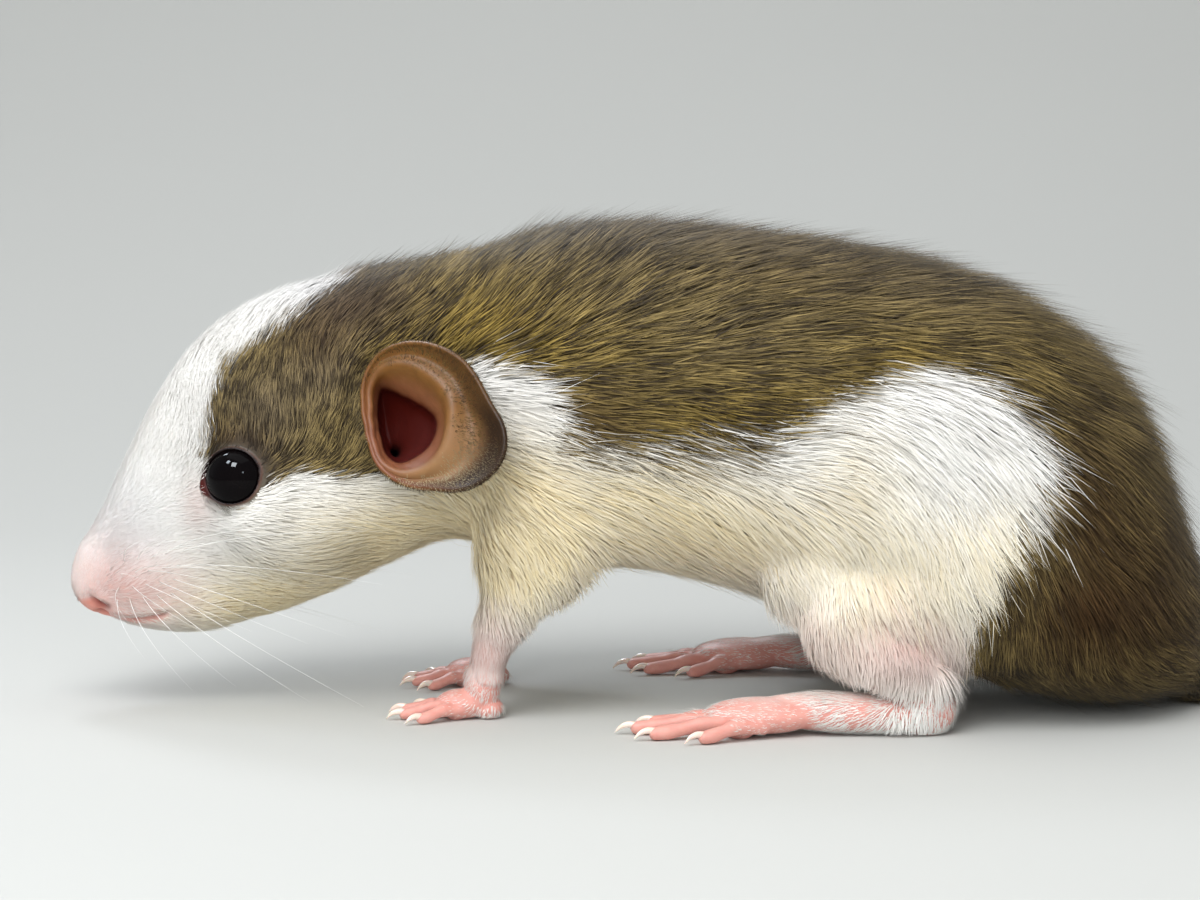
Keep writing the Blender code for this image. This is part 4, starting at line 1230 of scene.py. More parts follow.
def skin_material():
    """Skin: the fur's own colour under the coat, pink where it is bare, brown on the ears, with painted shade
    darkening the ear's hollow and canal, the nostrils and the line of the mouth.
    """
    material, writer, shader = new_material(
        "skin", Roughness=0.5, Specular_IOR_Level=0.2, Subsurface_Weight=0.12,
        Subsurface_Radius=(1.0, 0.35, 0.2), Subsurface_Scale=0.6 * MM)
    fur = coat_colour(writer, 0.1, 0.8)
    bare = writer.mix(writer.noise(900.0), colour(222, 150, 138), colour(236, 184, 172))
    # Darker red streaks over the bare skin, from noise stretched along the body.
    bare_streaks = writer.noise(2600.0, 2.0, (0.35, 1.0, 1.0))
    bare = writer.mix(writer.multiply(bare_streaks, 0.35), bare, colour(192, 102, 92))
    nose = writer.mix(writer.noise(1500.0), colour(214, 134, 118), colour(232, 170, 156))
    ear = writer.mix(writer.noise(700.0), colour(96, 61, 21), colour(130, 87, 37))
    flush = writer.mix(writer.noise(1100.0), colour(110, 63, 39), colour(140, 88, 60))
    for mask, shade in (("flush", flush), ("lobe", colour(148, 110, 72)), ("fold", colour(48, 30, 13))):
        ear = writer.mix(writer.attribute(mask), ear, shade)
    lid = writer.mix(writer.attribute("rim"), colour(106, 78, 68), colour(28, 16, 14))
    # The dark wet red of nostrils and mouth line is partly their own colour and partly painted shade in their
    # dents; the eye's inner corner is its own red.
    tone = fur
    # The ear's hollow is its own deep red darkened by painted shade, and its canal is near black, painted
    # shade at the bottom of the hole.
    for mask, shade in (
        ("bare", bare), ("nose", nose), ("ear", ear), ("hollow", colour(78, 20, 14)),
        ("canal", colour(14, 5, 4)), ("lid", lid), ("wet", colour(128, 40, 34)),
    ):
        tone = writer.mix(writer.attribute(mask), tone, shade)
    writer.feed(shader, "Base Color", writer.group(mottling_group(), Color=tone, Scale=420.0, Amount=0.25))
    bump = writer.add("ShaderNodeBump", Height=writer.noise(5200.0, 2.0), Strength=0.25, Distance=0.05 * MM)
    writer.feed(shader, "Normal", bump.outputs["Normal"])
    return material


def eye_material():
    """Wet black."""
    material, writer, shader = new_material("eye", Roughness=0.04, IOR=1.34, Specular_IOR_Level=0.15)
    writer.feed(shader, "Base Color", writer.mix(writer.noise(500.0), colour(4, 3, 4), colour(11, 7, 8)))
    return material


def claw_material():
    """Pale horn with a faint grain along it."""
    material, writer, shader = new_material(
        "claw", Roughness=0.3, Subsurface_Weight=0.2, Subsurface_Scale=0.4 * MM)
    grain = writer.noise(1200.0, stretch=(0.2, 1, 1))
    writer.feed(shader, "Base Color", writer.mix(grain, colour(232, 206, 190), colour(246, 232, 220)))
    return material


def whisker_material():
    """Clear white hair."""
    material, writer, shader = new_material("whisker", Roughness=0.35)
    tone = writer.mix(writer.noise(300.0), colour(236, 234, 230), colour(252, 252, 250))
    writer.feed(shader, "Base Color", tone)
    return material


def stage_material(settings):
    """Pale floor and backdrop, faintly uneven."""
    material, writer, shader = new_material("pale floor", Roughness=0.85)
    light = (*settings.floor_colour, 1.0)
    dark = (*(value * 0.97 for value in settings.floor_colour), 1.0)
    writer.feed(shader, "Base Color", writer.mix(writer.noise(6.0, 4.0), light, dark))
    return material


def finish_piece(obj, material, replaced=()):
    """Give a piece its material and its body, and hide the nodes that it replaces."""
    obj.data.materials.clear()
    obj.data.materials.append(material)
    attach(obj, "root")
    if replaced:
        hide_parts(*replaced)


# Coat

ROOT_DEPTH = 0.08  # of the tufts in the skin
TUFT_BEND = 0.45  # where a tuft bends, as a share of its length
TUFT_QUADS = np.array([(0, 3, 4, 1), (1, 4, 5, 2)])
TUFT_TIPS = np.array([(3, 6, 4), (4, 6, 5)])
TUFT_ALONG = np.array([0, 0, 0, TUFT_BEND, TUFT_BEND, TUFT_BEND, 1.0])
TUFT_ACROSS = np.array([0, 0.5, 1, 0.1, 0.5, 0.9, 0.5])
TUFT_POINTS = 7
TUFT_TRIANGLES = 6


def scatter(points, corners, crowd, rng):
    """Random roots over the skin: the triangle in which each one falls, and its shares of the corners."""
    a, b, c = (points[corners[:, k]] for k in range(3))
    area = np.linalg.norm(np.cross(b - a, c - a), axis=1) / 2
    wanted = area / MM**2 * crowd[corners].mean(axis=1)
    count = np.floor(wanted + rng.random(len(wanted))).astype(int)
    chosen = np.repeat(np.arange(len(corners)), count)
    first, second = rng.random(len(chosen)), rng.random(len(chosen))
    flip = first + second > 1
    first[flip], second[flip] = 1 - first[flip], 1 - second[flip]
    return chosen, np.column_stack([1 - first - second, first, second])


def tuft_arrays(root, normal, flow, length, lift, rng):
    """Root, middle and tip of each tuft, which rises and bends back to the skin, and its side direction."""
    side = np.cross(normal, flow)
    side /= np.maximum(np.linalg.norm(side, axis=1), TINY)[:, None]
    flow = np.cross(side, normal)
    turn = rng.normal(0, 0.13, len(root))[:, None]
    flow, side = flow * np.cos(turn) + side * np.sin(turn), side * np.cos(turn) - flow * np.sin(turn)
    steep = lift + 0.17
    shallow = np.maximum(lift - 0.14, 0.02)
    rise = flow * np.cos(steep)[:, None] + normal * np.sin(steep)[:, None]
    lean = flow * np.cos(shallow)[:, None] + normal * np.sin(shallow)[:, None]
    base = root - normal * ROOT_DEPTH * MM
    middle = base + rise * (length * TUFT_BEND)[:, None]
    return base, middle, middle + lean * (length * (1 - TUFT_BEND))[:, None], side


def tuft_points(base, middle, tip, side, normal, width):
    """The points of each tuft: left, ridge and right of its root and of its middle, and its tip."""
    half = side * (width / 2)[:, None]
    ridge = normal * (width * 0.2)[:, None]
    points = [
        base - half, base + ridge, base + half,
        middle - half * 0.8, middle + ridge * 0.8, middle + half * 0.8,
        tip,
    ]
    points = np.stack(points, axis=1)
    points[..., 2] = np.maximum(points[..., 2], COAT_FLOOR * MM)
    return points


def clump(base, tip, spacing, strength, rng):
    """Draw the tips of neighbouring tufts together; returns the tips and the tuft that leads each one."""
    leaders = rng.choice(len(base), max(len(base) // spacing, 1), replace=False)
    tree = KDTree(len(leaders))
    for order, leader in enumerate(leaders):
        tree.insert(base[leader], order)
    tree.balance()
    leader = leaders[np.array([tree.find(point)[1] for point in base])]
    pull = strength * rng.uniform(0.2, 1.0, len(base))
    return tip + (tip[leader] - tip) * pull[:, None], leader


class Region(NamedTuple):
    """One piece of the coat: its name, and the line round which its bake map is unwrapped."""

    name: str
    axis: str
    centre: tuple


REGIONS = [
    Region(name, "X", (0, 0, height)) for name, height in (
        ("muzzle", 14), ("face", 20), ("crown", 26), ("nape", 27), ("neck", 27), ("shoulder", 27),
        ("ribs", 27), ("waist", 25), ("loin", 24), ("hip", 22), ("rump", 20),
    )
]
REGIONS += [
    Region("foreleg", "Z", (-48, 8.5, 0)),
    Region("hindleg", "Z", (-14, 14, 0)),
    Region("ear", "Y", (-54, 0, 26)),
]
# Where each region along the body ends, from muzzle to rump
REGION_ENDS = (-78.0, -70.0, -62.0, -54.0, -46.0, -36.0, -26.0, -16.0, -7.0, 1.5, 99.0)


# The legs' part of the coat: its front, rear and top, and its inner side
LEGS = {"foreleg": (-56, -41, 12, 3.5), "hindleg": (-27, -3, 9, 8)}

# On the bake map, from 0 to 1: the margin and reach of a piece, and the size of a tuft's own patch
BAKE_MARGIN = 0.02
BAKE_REACH = 0.95
BAKE_PATCH = 0.003


def region_of(points, on_ear):
    """The index of the region in which each root lies."""
    x, y, z = (points / MM).T
    names = [region.name for region in REGIONS]
    region = np.searchsorted(REGION_ENDS, x)
    for name, (front, rear, top, inner) in LEGS.items():
        region[(z < top) & (x > front) & (x < rear) & (np.abs(y) > inner)] = names.index(name)
    region[on_ear > 0] = names.index("ear")
    return region


def unwrap(points, region, side):
    """Places from 0 to 1 on an unwrap of the skin round the region's line."""
    x, y, z = (points / MM).T
    centre_x, centre_y, centre_z = region.centre
    y = y * side - centre_y
    if region.axis == "X":
        along, around = x, np.arctan2(y, z - centre_z)
    elif region.axis == "Z":
        along, around = z, np.arctan2(y, x - centre_x)
    else:
        along, around = y, np.arctan2(z - centre_z, x - centre_x)
    flat = np.column_stack([along, around])
    low, high = flat.min(axis=0), flat.max(axis=0)
    return BAKE_MARGIN + BAKE_REACH * (flat - low) / np.maximum(high - low, TINY)


def coat_mesh(name, tufts, choose, region, side):
    """One piece of the coat as a joined mesh of tufts, with its masks, bake map and soft normals."""
    points = tufts["points"][choose]
    count = len(points)
    step = np.arange(count)[:, None, None] * TUFT_POINTS
    faces = [(step + TUFT_QUADS).reshape(-1, 4), (step + TUFT_TIPS).reshape(-1, 3)]
    mesh = mesh_of(name, points.reshape(-1, 3), faces)
    store(mesh, "along", np.tile(TUFT_ALONG, count))
    for key in ("tone", *COLOUR_MASKS):
        store(mesh, key, np.repeat(tufts[key][choose], TUFT_POINTS))
    flat = unwrap(tufts["root"][choose], region, side)
    patch = BAKE_PATCH * np.column_stack([TUFT_ACROSS - 0.5, TUFT_ALONG - 0.5])
    places = (flat[:, None] + patch).reshape(-1, 2)
    corner = np.empty(len(mesh.loops), np.int32)
    mesh.loops.foreach_get("vertex_index", corner)
    layer = mesh.uv_layers.new(name="OFBake")
    layer.data.foreach_set("uv", places[corner].astype(np.float32).ravel())
    own = np.repeat(0.10 + 0.16 * tufts["brown"][choose], TUFT_POINTS)[:, None]
    soft = np.repeat(tufts["normal"][choose], TUFT_POINTS, axis=0) * (1 - own) + vertex_normals(mesh) * own
    soft /= np.linalg.norm(soft, axis=1)[:, None]
    mesh.normals_split_custom_set_from_vertices(soft.tolist())
    return mesh


def tuft_crowd(skin, points):
    """Tufts on each square millimetre, none on lids, nose, nostrils, mouth, toes, tail and in the ears."""
    masks = {}
    for key in ("ear", "nose", "lid", "wet"):
        masks[key] = np.empty(len(points), np.float32)
        skin.data.attributes[key].data.foreach_get("value", masks[key])
    x, _, z = (points / MM).T
    toes = (z < 1.9) & ((x < -52.4) | ((x > -40) & (x < -27.0)))
    bald = (masks["nose"] > 0.5) | (masks["lid"] > 0.5) | (masks["wet"] > 0.12)
    bald |= toes | (x > 17.5) | (z < 0.3)
    ear = ear_field(points, EAR_CLOSE)
    hollow_side = ear["inside"] > 0
    inner = ear["share"] < EAR_RIDGE_SHARE + 0.02 + 0.05 * ripple(points, 1.5 * MM, 11)
    front = np.cos(ear["angle"] - 0.35) < -0.45
    on_ear = masks["ear"] > 0.5
    bald |= on_ear & hollow_side & (inner | front)
    crowd = np.where(on_ear, EAR_CROWD, coat_zones(points)["crowd"])
    return np.where(bald, 0, crowd)


def fur_lie(root, normal, settings, rng):
    """How a tuft lies on each root, its own tone, and whether it is a guard hair."""
    count = len(root)
    zones = coat_zones(root)
    swirl = 0.16 * ripple(root, 9 * MM, 8) + 0.12 * ripple(root, 3.5 * MM, 9)
    ahead, across, up = zones["flow"].T
    flow = np.column_stack([
        ahead * np.cos(swirl) - up * np.sin(swirl), across, ahead * np.sin(swirl) + up * np.cos(swirl)])
    flow /= np.maximum(np.linalg.norm(flow, axis=1), TINY)[:, None]
    length = zones["length"] * settings.length * rng.uniform(0.7, 1.15, count)
    lift = np.clip(zones["lift"] * rng.normal(1.0, 0.25, count), 0.02, 1.2)
    width = zones["width"] * TUFT_WIDTH * rng.uniform(0.7, 1.3, count)
    tone = rng.random(count)
    share = GUARD_SHARE + GUARD_SHARE_ABOVE * (root[:, 2] > GUARD_HEIGHT * MM)
    guard = (rng.random(count) < share) & (zones["length"] > GUARD_LEAST_COAT * MM)
    guards = guard.sum()
    upper = smoothstep(24, 38, root[guard, 2] / MM)
    length[guard] *= rng.uniform(1.1, 1.35, guards) + 0.15 * upper
    lift[guard] += rng.uniform(0.02, 0.20, guards) + rng.uniform(0, 0.30, guards) * upper
    width[guard] *= GUARD_WIDTH
    above = rng.uniform(0.3, 2.5, count) * (1 - 0.6 * np.abs(normal[:, 1]))
    above = np.where(guard, above + RUMP_RISE * smoothstep(-6, 6, root[:, 0] / MM), PLAIN_RISE) * MM
    lift = np.minimum(lift, np.arcsin(np.clip((coat_depth(root) + above) / length, 0, 1)))
    fluffy = smoothstep(1.5 * MM, 5 * MM, zones["length"])
    return {
        "flow": flow, "length": length, "lift": lift, "width": width, "tone": tone, "guard": guard,
        "fluffy": fluffy,
    }


def lay_down(fur, ear, rng):
    """Make the tufts on the ears short down that points outward, and shorten those round the ears."""
    near = ear["distance"] < EAR_REACH * MM
    on_ear = near & (ear["distance"] < 0.45 * MM)
    fur["length"][near] *= 0.3 + 0.7 * smoothstep(0.6 * MM, 3.4 * MM, ear["distance"][near])
    outward = ear["outward"][on_ear] + np.array((1.5, 0, -0.5)) * MM
    fur["flow"][on_ear] = outward / np.linalg.norm(outward, axis=1)[:, None]
    down = 0.38 + 0.30 * np.sin(math.pi * smoothstep(EAR_RIDGE_SHARE, 1.0, ear["share"][on_ear]))
    fur["length"][on_ear] = rng.uniform(0.6, 1.2, on_ear.sum()) * down * MM
    fur["width"][on_ear] = DOWN_WIDTH * MM
    fur["lift"][on_ear] = DOWN_LIFT
    return on_ear


def tuft_colours(root, tip, guard, ear, on_ear, rng):
    """The colour masks of each tuft, read where its outer part is seen."""
    count = len(root)
    seen = root + (tip - root) * np.where(guard, rng.uniform(0, 0.6, count), SEEN_SHARE)[:, None]
    masks = colour_fields(np.where(on_ear[:, None], root, seen), rng.normal(0, 1, count))
    masks["cream"] = np.clip(masks["cream"] * rng.uniform(0.7, 1.3, count), 0, 1)
    on_pad = np.linalg.norm((root[:, (0, 2)] / MM - PAD_PLACE) / PAD_REACH, axis=1) < 1
    masks["brown"][on_pad & (rng.random(count) < PAD_DARK_SHARE)] = 0.3
    low = np.clip(-np.sin(ear["angle"][on_ear] + 0.15), 0, 1) * ear["inside"][on_ear]
    masks["brown"][on_ear] = 1 - 0.5 * low
    masks["cream"][on_ear] = 1.0
    masks["dark"][on_ear] = 0.6 + 0.4 * fold_share(ear)[on_ear]
    masks["gold"][on_ear] = 0.6
    masks["grey"][on_ear] = 0
    return masks


def grow(root, normal, settings, rng):
    """Grow a tuft on each root: its shape, its colour masks and what the pieces need to know of it."""
    fur = fur_lie(root, normal, settings, rng)
    ear = ear_field(root)
    on_ear = lay_down(fur, ear, rng)
    guard = fur["guard"]
    base, middle, tip, side = tuft_arrays(root, normal, fur["flow"], fur["length"], fur["lift"], rng)
    spikes, _ = clump(base[guard], tip[guard], GUARD_CLUMP, 2.2 * settings.clumping, rng)
    tip, leader = clump(base, tip, PLAIN_CLUMP, settings.clumping * fur["fluffy"] * ~on_ear, rng)
    tip[guard] = spikes
    tone = 0.45 * fur["tone"] + 0.55 * fur["tone"][leader]
    tone = np.clip(0.5 + (tone - 0.5) * 1.6, 0, 1)
    tone[guard] *= 0.4
    tufts = tuft_colours(root, tip, guard, ear, on_ear, rng)
    tufts.update({
        "points": tuft_points(base, middle, tip, side, normal, fur["width"]),
        "root": root, "normal": normal, "tone": tone, "on_ear": on_ear,
    })
    return tufts


# Settings, operators and panel


class Lamp(NamedTuple):
    """A square area light; reach tells whether it lights matt or glossy reflections, or both."""

    name: str
    spot: tuple
    size: float
    strength: float  # as a share of the key light's power
    shade: tuple
    reach: str


LAMPS = [
    Lamp("front", (-0.223, -0.253, 0.364), 0.24, 0.36, (0.985, 0.99, 1.0), "matt"),
    Lamp("above", (-0.040, -0.269, 0.446), 0.26, 0.62, (1.0, 0.99, 0.975), "matt"),
    Lamp("side", (-0.169, -0.406, 0.307), 0.20, 0.32, (0.97, 0.98, 1.0), "matt"),
    Lamp("overhead", (0.0, 0.05, 0.75), 0.80, 1.0, (1.0, 1.0, 1.0), "both"),
    Lamp("fill", (-0.06, -0.58, 0.16), 0.50, 0.85, (1.0, 0.998, 0.99), "matt"),
]

# Small lamps that only shine back from the eyes, as directions from the left eye
CATCH_DISTANCE = 0.4
CATCH_LAMPS = [
    Lamp("catch main", (-0.22, -0.583, 0.781), 0.10, 1.5, (0.9, 0.95, 1.0), "gloss"),
    Lamp("catch second", (-0.489, -0.318, 0.811), 0.065, 0.6, (0.8, 0.9, 1.0), "gloss"),
    Lamp("catch low", (0.302, -0.857, 0.419), 0.035, 0.08, (0.8, 0.9, 1.0), "gloss"),
]

WORLD_COLOUR = (0.93, 0.96, 1.0, 1.0)
WORLD_STRENGTH = 0.42
SENSOR_WIDTH = 36.0  # of the camera

# The backdrop in metres: the floor's front and back, the radius of its bend, and the wall's height
BACKDROP_FRONT = -0.9
BACKDROP_BACK = 0.12
BACKDROP_BEND = 0.5
BACKDROP_STEPS = 48
BACKDROP_HEIGHT = 1.1
BACKDROP_HALF_WIDTH = 1.6


def add_lamp(lamp, spot, target, power):
    """Set a lamp at a spot, aimed at a target, where it lights but isn't seen."""
    light = bpy.data.lights.new(lamp.name, "AREA")
    light.shape = "SQUARE"
    light.size = lamp.size
    light.energy = power
    light.color = lamp.shade
    obj = bpy.data.objects.new(lamp.name, light)
    obj.location = spot
    obj.rotation_euler = (target - spot).to_track_quat("-Z", "Y").to_euler()
    obj.visible_camera = False
    obj.visible_glossy = lamp.reach != "matt"
    obj.visible_diffuse = lamp.reach != "gloss"
    bpy.context.scene.collection.objects.link(obj)


def backdrop_mesh():
    """The floor, bent up into a wall behind the animal."""
    turn = np.linspace(0, math.pi / 2, BACKDROP_STEPS)
    profile = [(BACKDROP_FRONT, 0.0)]
    for angle in turn:
        profile.append((
            BACKDROP_BACK + BACKDROP_BEND * math.sin(angle), BACKDROP_BEND * (1 - math.cos(angle))))
    profile.append((BACKDROP_BACK + BACKDROP_BEND, BACKDROP_HEIGHT))
    across = np.linspace(-BACKDROP_HALF_WIDTH, BACKDROP_HALF_WIDTH, 3)
    grid = np.array([[(x, y, z) for x in across] for y, z in profile])
    return mesh_of("backdrop", grid.reshape(-1, 3), [grid_faces(len(profile), len(across), ring=False)])


def skin_masks(points, nostril, mouth, lid, rim, corner):
    """The masks that colour the skin, from its points and the shares of its finer forms."""
    ear = ear_field(points, EAR_CLOSE)
    on_ear = (ear["distance"] < 0.5 * MM).astype(float)
    inside = ear["inside"] * on_ear
    front = np.clip(-np.cos(ear["angle"] - 0.3), 0, 1) + np.clip(-np.sin(ear["angle"]), 0, 1)
    slope = 1 - smoothstep(EAR_HOLLOW_SHARE + 0.03, EAR_RIDGE_SHARE - 0.03, ear["share"])
    # The hollow's dark red is partly painted shade, and the canal's near black is wholly painted shade.
    hollow = 1 - smoothstep(EAR_HOLLOW_SHARE - 0.03, EAR_HOLLOW_SHARE + 0.03, ear["share"])
    canal = 1 - smoothstep(EAR_CANAL_SHARE - 0.02, EAR_CANAL_SHARE + 0.04, ear["share"])
    masks = colour_fields(points)
    masks.update({
        "bare": np.maximum(foot_share(points), 0.75 * lip_share(points)),
        "nose": nose_share(points),
        "ear": on_ear,
        "flush": np.clip(0.75 * front + 0.8 * slope, 0, 1) * inside,
        "fold": fold_share(ear) * on_ear,
        "lobe": lobe_share(ear) * on_ear,
        "hollow": inside * hollow,
        "canal": inside * canal,
        "lid": lid,
        "rim": rim,
        # Nostrils and the line of the mouth: dark wet red, partly their own colour and partly painted shade
        # in their dents; the eye's inner corner: its own red.
        "wet": np.maximum(np.maximum(nostril, 0.6 * mouth), 0.42 * corner),
    })
    return masks


def whisker_mesh(tree, side, row, column, settings, rng):
    """A fine, tapering whisker that stands out of the skin, bends and keeps clear of the floor."""
    spot = Vector((
        (WHISKER_START[0] + 1.2 * column + 0.25 * row) * MM,
        side * 30 * MM,
        (WHISKER_START[1] + 1.15 * row + 0.2 * column) * MM,
    ))
    found, normal, _, _ = tree.ray_cast(spot, Vector((0, -side, 0)))
    back = 0.1 + 0.2 * column + rng.normal(0, 0.08)
    rise = (row - 1.2) * 0.26 + rng.normal(0, 0.06)
    aim = Vector((back, side * (1.0 + rng.normal(0, 0.06)), rise)).normalized()
    reach = settings.longest * (0.5 + 0.12 * column) * rng.uniform(0.85, 1.05)
    drop = -(aim.z + WHISKER_BEND.z) * reach
    reach *= min(1.0, (found.z - WHISKER_CLEAR) / max(drop, TINY))
    share = np.linspace(0, 1, WHISKER_POINTS)
    path = np.array([
        tuple(found - normal * 0.3 * MM + (aim + WHISKER_BEND * float(s)) * float(s) * reach)
        for s in share])
    radii = settings.thickness * (1 - share * 0.9)
    return closed_rings("whisker", tube_rings(path, radii, 5))


class RatCoatSettings(bpy.types.PropertyGroup):
    density: FloatProperty(
        name="Density", description="Tufts, as a share of the full coat", default=1.0, min=0.05, max=1.5)
    length: FloatProperty(
        name="Length", description="Length of the fur, as a share of the pup's own", default=1.0, min=0.3,
        max=2.0)
    clumping: FloatProperty(
        name="Clumping", description="How far neighbouring tips are drawn together", default=0.35, min=0.0,
        max=1.0)
    seed: IntProperty(name="Seed", description="Seed of the coat's random draw", default=24)


class RatWhiskerSettings(bpy.types.PropertyGroup):
    longest: FloatProperty(
        name="Longest", description="Length of the longest whisker", default=0.022, unit="LENGTH")
    thickness: FloatProperty(
        name="Thickness", description="Radius of a whisker at its root", default=0.00003, unit="LENGTH")


class RatStageSettings(bpy.types.PropertyGroup):
    floor_colour: FloatVectorProperty(
        name="Floor", description="Colour of floor and backdrop", subtype="COLOR",
        default=(0.53, 0.537, 0.515))
    key_power: FloatProperty(
        name="Key light", description="Power of the main soft light", default=1.7, unit="POWER")


class RatSettings(bpy.types.PropertyGroup):
    coat: PointerProperty(type=RatCoatSettings)
    whiskers: PointerProperty(type=RatWhiskerSettings)
    stage: PointerProperty(type=RatStageSettings)


class RAT_OT_skin(bpy.types.Operator):
    """Build the one skin that takes the place of the flesh, feet, ears and tail"""

    bl_idname = "rat_pup.skin"
    bl_label = "Skin"

    def execute(self, context):
        skin = body_form()
        for name in SIDES:
            boolean(skin, "DIFFERENCE", add_object("hollow", ear_hollow(name)))
            boolean(skin, "UNION", add_object("ear", ear_mesh(name)))
            boolean(skin, "UNION", foot_form("forefoot", name))
            boolean(skin, "UNION", foot_form("hindfoot", name))
        boolean(skin, "UNION", tail_form())
        mesh = skin.data
        for reach, muzzle in ((4.6, -82), (4.0, -83.5)):
            points, _ = arrays_of(mesh)
            refine(mesh, (eye_distance(points) < reach) | (points[:, 0] < muzzle * MM))
        drop_folded_faces(mesh)
        points, _ = arrays_of(mesh)
        points, nostril, mouth = shape_muzzle(points, vertex_normals(mesh))
        points, lid, rim, corner = shape_lids(points)
        move_vertices(mesh, points)
        mesh.shade_smooth()
        for key, values in skin_masks(points, nostril, mouth, lid, rim, corner).items():
            store(mesh, key, values)
        skin.name = "skin"
        finish_piece(skin, skin_material(), FLESH + FEET + TAIL + EARS)
        return {"FINISHED"}


class RAT_OT_coat(bpy.types.Operator):
    """Grow the coat as tufts that follow the lie of the fur"""

    bl_idname = "rat_pup.coat"
    bl_label = "Coat"

    def execute(self, context):
        settings = context.scene.rat_pup.coat
        rng = np.random.default_rng(settings.seed)
        skin = bpy.data.objects["skin"]
        points, corners = arrays_of(skin.data)
        normals = vertex_normals(skin.data)
        crowd = tuft_crowd(skin, points) * settings.density
        chosen, shares = scatter(points, corners, crowd, rng)
        root = np.einsum("nk,nkd->nd", shares, points[corners[chosen]])
        normal = np.einsum("nk,nkd->nd", shares, normals[corners[chosen]])
        normal /= np.linalg.norm(normal, axis=1)[:, None]
        tufts = grow(root, normal, settings, rng)
        material = coat_material()
        regions = region_of(root, tufts["on_ear"])
        total = 0
        for index, region in enumerate(REGIONS):
            for side_name, side in SIDES.items():
                choose = (regions == index) & (root[:, 1] * side > 0)
                piece = add_object(
                    f"coat_{region.name}_{side_name}", coat_mesh(region.name, tufts, choose, region, side))
                triangles = TUFT_TRIANGLES * int(choose.sum())
                total += triangles
                print(piece.name, triangles, "triangles")
                finish_piece(piece, material)
        print("coat", total, "triangles")
        return {"FINISHED"}


class RAT_OT_eyes(bpy.types.Operator):
    """Build the eyes"""

    bl_idname = "rat_pup.eyes"
    bl_label = "Eyes"

    def execute(self, context):
        material = eye_material()
        for name in SIDES:
            centre, radius = eye_centre(name)
            mesh = ellipsoid_mesh(centre, (radius, radius, radius))
            mesh.shade_smooth()
            finish_piece(add_object(f"eyeball_{name}", mesh), material, (f"eye_{name}",))
        return {"FINISHED"}


class RAT_OT_claws(bpy.types.Operator):
    """Build the claws of each foot"""

    bl_idname = "rat_pup.claws"
    bl_label = "Claws"

    def execute(self, context):
        material = claw_material()
        for name in SIDES:
            for label, foot in (("fore_claws", "forefoot"), ("hind_claws", "hindfoot")):
                mesh = join_meshes("claws", [claw_mesh(toe) for toe in foot_toes(foot, name)])
                mesh.shade_smooth()
                finish_piece(add_object(f"{label}_{name}", mesh), material)
        return {"FINISHED"}


class RAT_OT_whiskers(bpy.types.Operator):
    """Set the whiskers in rows on the pads beside the nose"""

    bl_idname = "rat_pup.whiskers"
    bl_label = "Whiskers"

    def execute(self, context):
        settings = context.scene.rat_pup.whiskers
        points, corners = arrays_of(bpy.data.objects["skin"].data)
        tree = BVHTree.FromPolygons(points.tolist(), corners.tolist())
        rng = np.random.default_rng(WHISKER_SEED)
        material = whisker_material()
        for name, side in SIDES.items():
            meshes = [
                whisker_mesh(tree, side, row, column, settings, rng)
                for row in range(WHISKER_ROWS) for column in range(WHISKER_COLUMNS)
            ]
            mesh = join_meshes("whiskers", meshes)
            mesh.shade_smooth()
            finish_piece(add_object(f"whiskers_{name}", mesh), material)
        return {"FINISHED"}


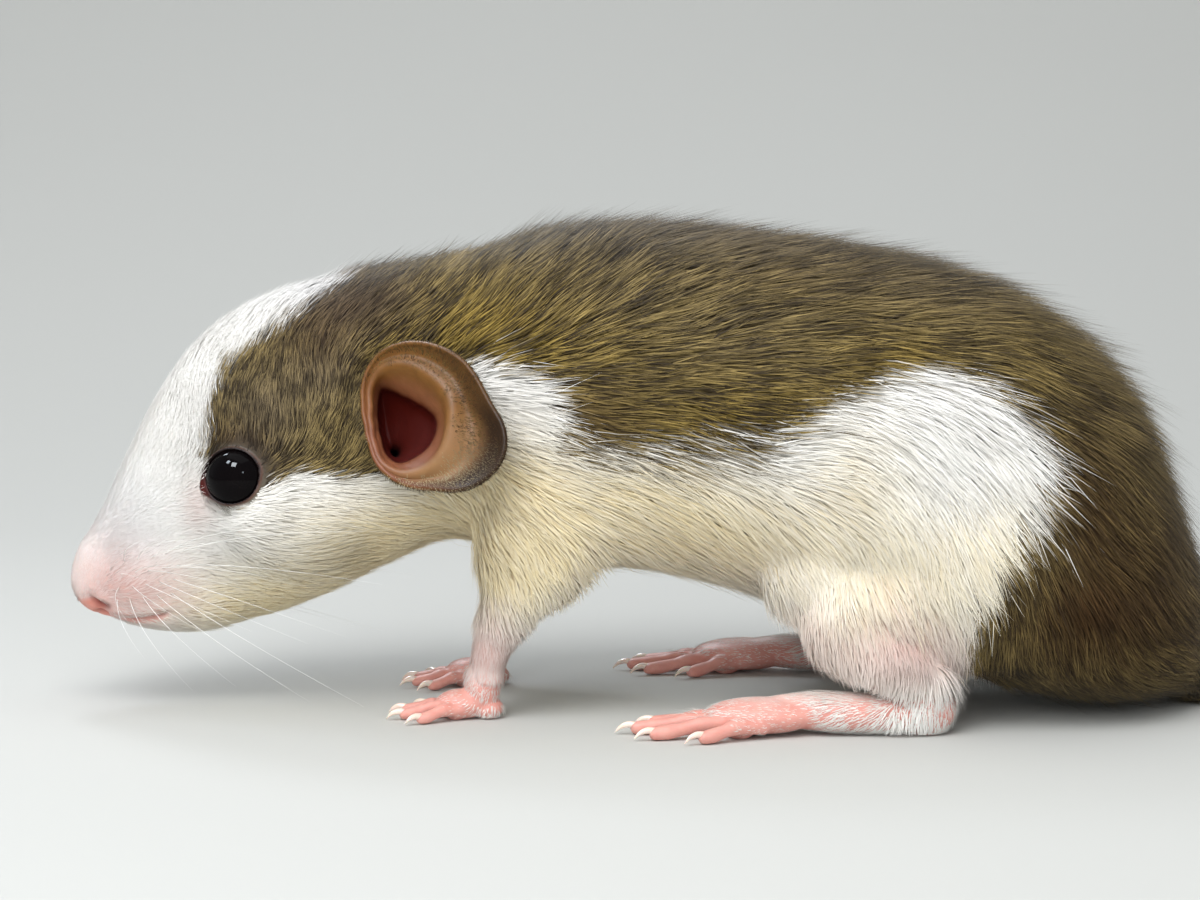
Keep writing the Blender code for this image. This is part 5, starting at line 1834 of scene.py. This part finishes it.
class RAT_OT_stage(bpy.types.Operator):
    """Set the pale floor and backdrop, the soft lights and the camera"""

    bl_idname = "rat_pup.stage"
    bl_label = "Stage"

    def execute(self, context):
        settings = context.scene.rat_pup.stage
        backdrop = add_object("backdrop", backdrop_mesh())
        backdrop.data.materials.append(stage_material(settings))
        world = bpy.data.worlds.new("studio")
        context.scene.world = world
        world.use_nodes = True
        background = world.node_tree.nodes["Background"]
        background.inputs["Color"].default_value = WORLD_COLOUR
        background.inputs["Strength"].default_value = WORLD_STRENGTH
        power = settings.key_power
        for lamp in LAMPS:
            add_lamp(lamp, Vector(lamp.spot), VIEW_CENTRE, lamp.strength * power)
        for name, side in SIDES.items():
            eye, _ = eye_centre(name)
            for lamp in CATCH_LAMPS:
                spot = eye + mirrored(Vector(lamp.spot), side).normalized() * CATCH_DISTANCE
                add_lamp(lamp, spot, eye, lamp.strength * power)
        camera = bpy.data.objects.new("camera", bpy.data.cameras.new("camera"))
        camera.data.lens = SENSOR_WIDTH * VIEW_DISTANCE / VIEW_WIDTH
        camera.data.clip_start = 0.01
        toward = Vector(VIEW_TOWARD)
        camera.location = VIEW_CENTRE + toward * VIEW_DISTANCE
        camera.rotation_euler = (-toward).to_track_quat("-Z", "Y").to_euler()
        context.scene.collection.objects.link(camera)
        context.scene.camera = camera
        context.scene.view_settings.view_transform = "Standard"
        return {"FINISHED"}


class RAT_PT_panel(bpy.types.Panel):
    """Lists the pieces of the rat pup and their settings"""

    bl_idname = "RAT_PT_panel"
    bl_label = "Rat pup"
    bl_space_type = "VIEW_3D"
    bl_region_type = "UI"
    bl_category = "Rat pup"

    def draw(self, context):
        settings = context.scene.rat_pup
        for group in (settings.coat, settings.whiskers, settings.stage):
            box = self.layout.box()
            for key in group.__annotations__:
                box.prop(group, key)
        for operator in OPERATORS:
            self.layout.operator(operator.bl_idname)


OPERATORS = (RAT_OT_stage, RAT_OT_skin, RAT_OT_eyes, RAT_OT_claws, RAT_OT_whiskers, RAT_OT_coat)
CLASSES = (RatCoatSettings, RatWhiskerSettings, RatStageSettings, RatSettings) + OPERATORS + (RAT_PT_panel,)


def register():
    for item in CLASSES:
        bpy.utils.register_class(item)
    bpy.types.Scene.rat_pup = PointerProperty(type=RatSettings)


def unregister():
    del bpy.types.Scene.rat_pup
    for item in reversed(CLASSES):
        bpy.utils.unregister_class(item)


def main():
    register()
    for operator in OPERATORS:
        group, name = operator.bl_idname.split(".")
        getattr(getattr(bpy.ops, group), name)()


if __name__ == "__main__":
    main()
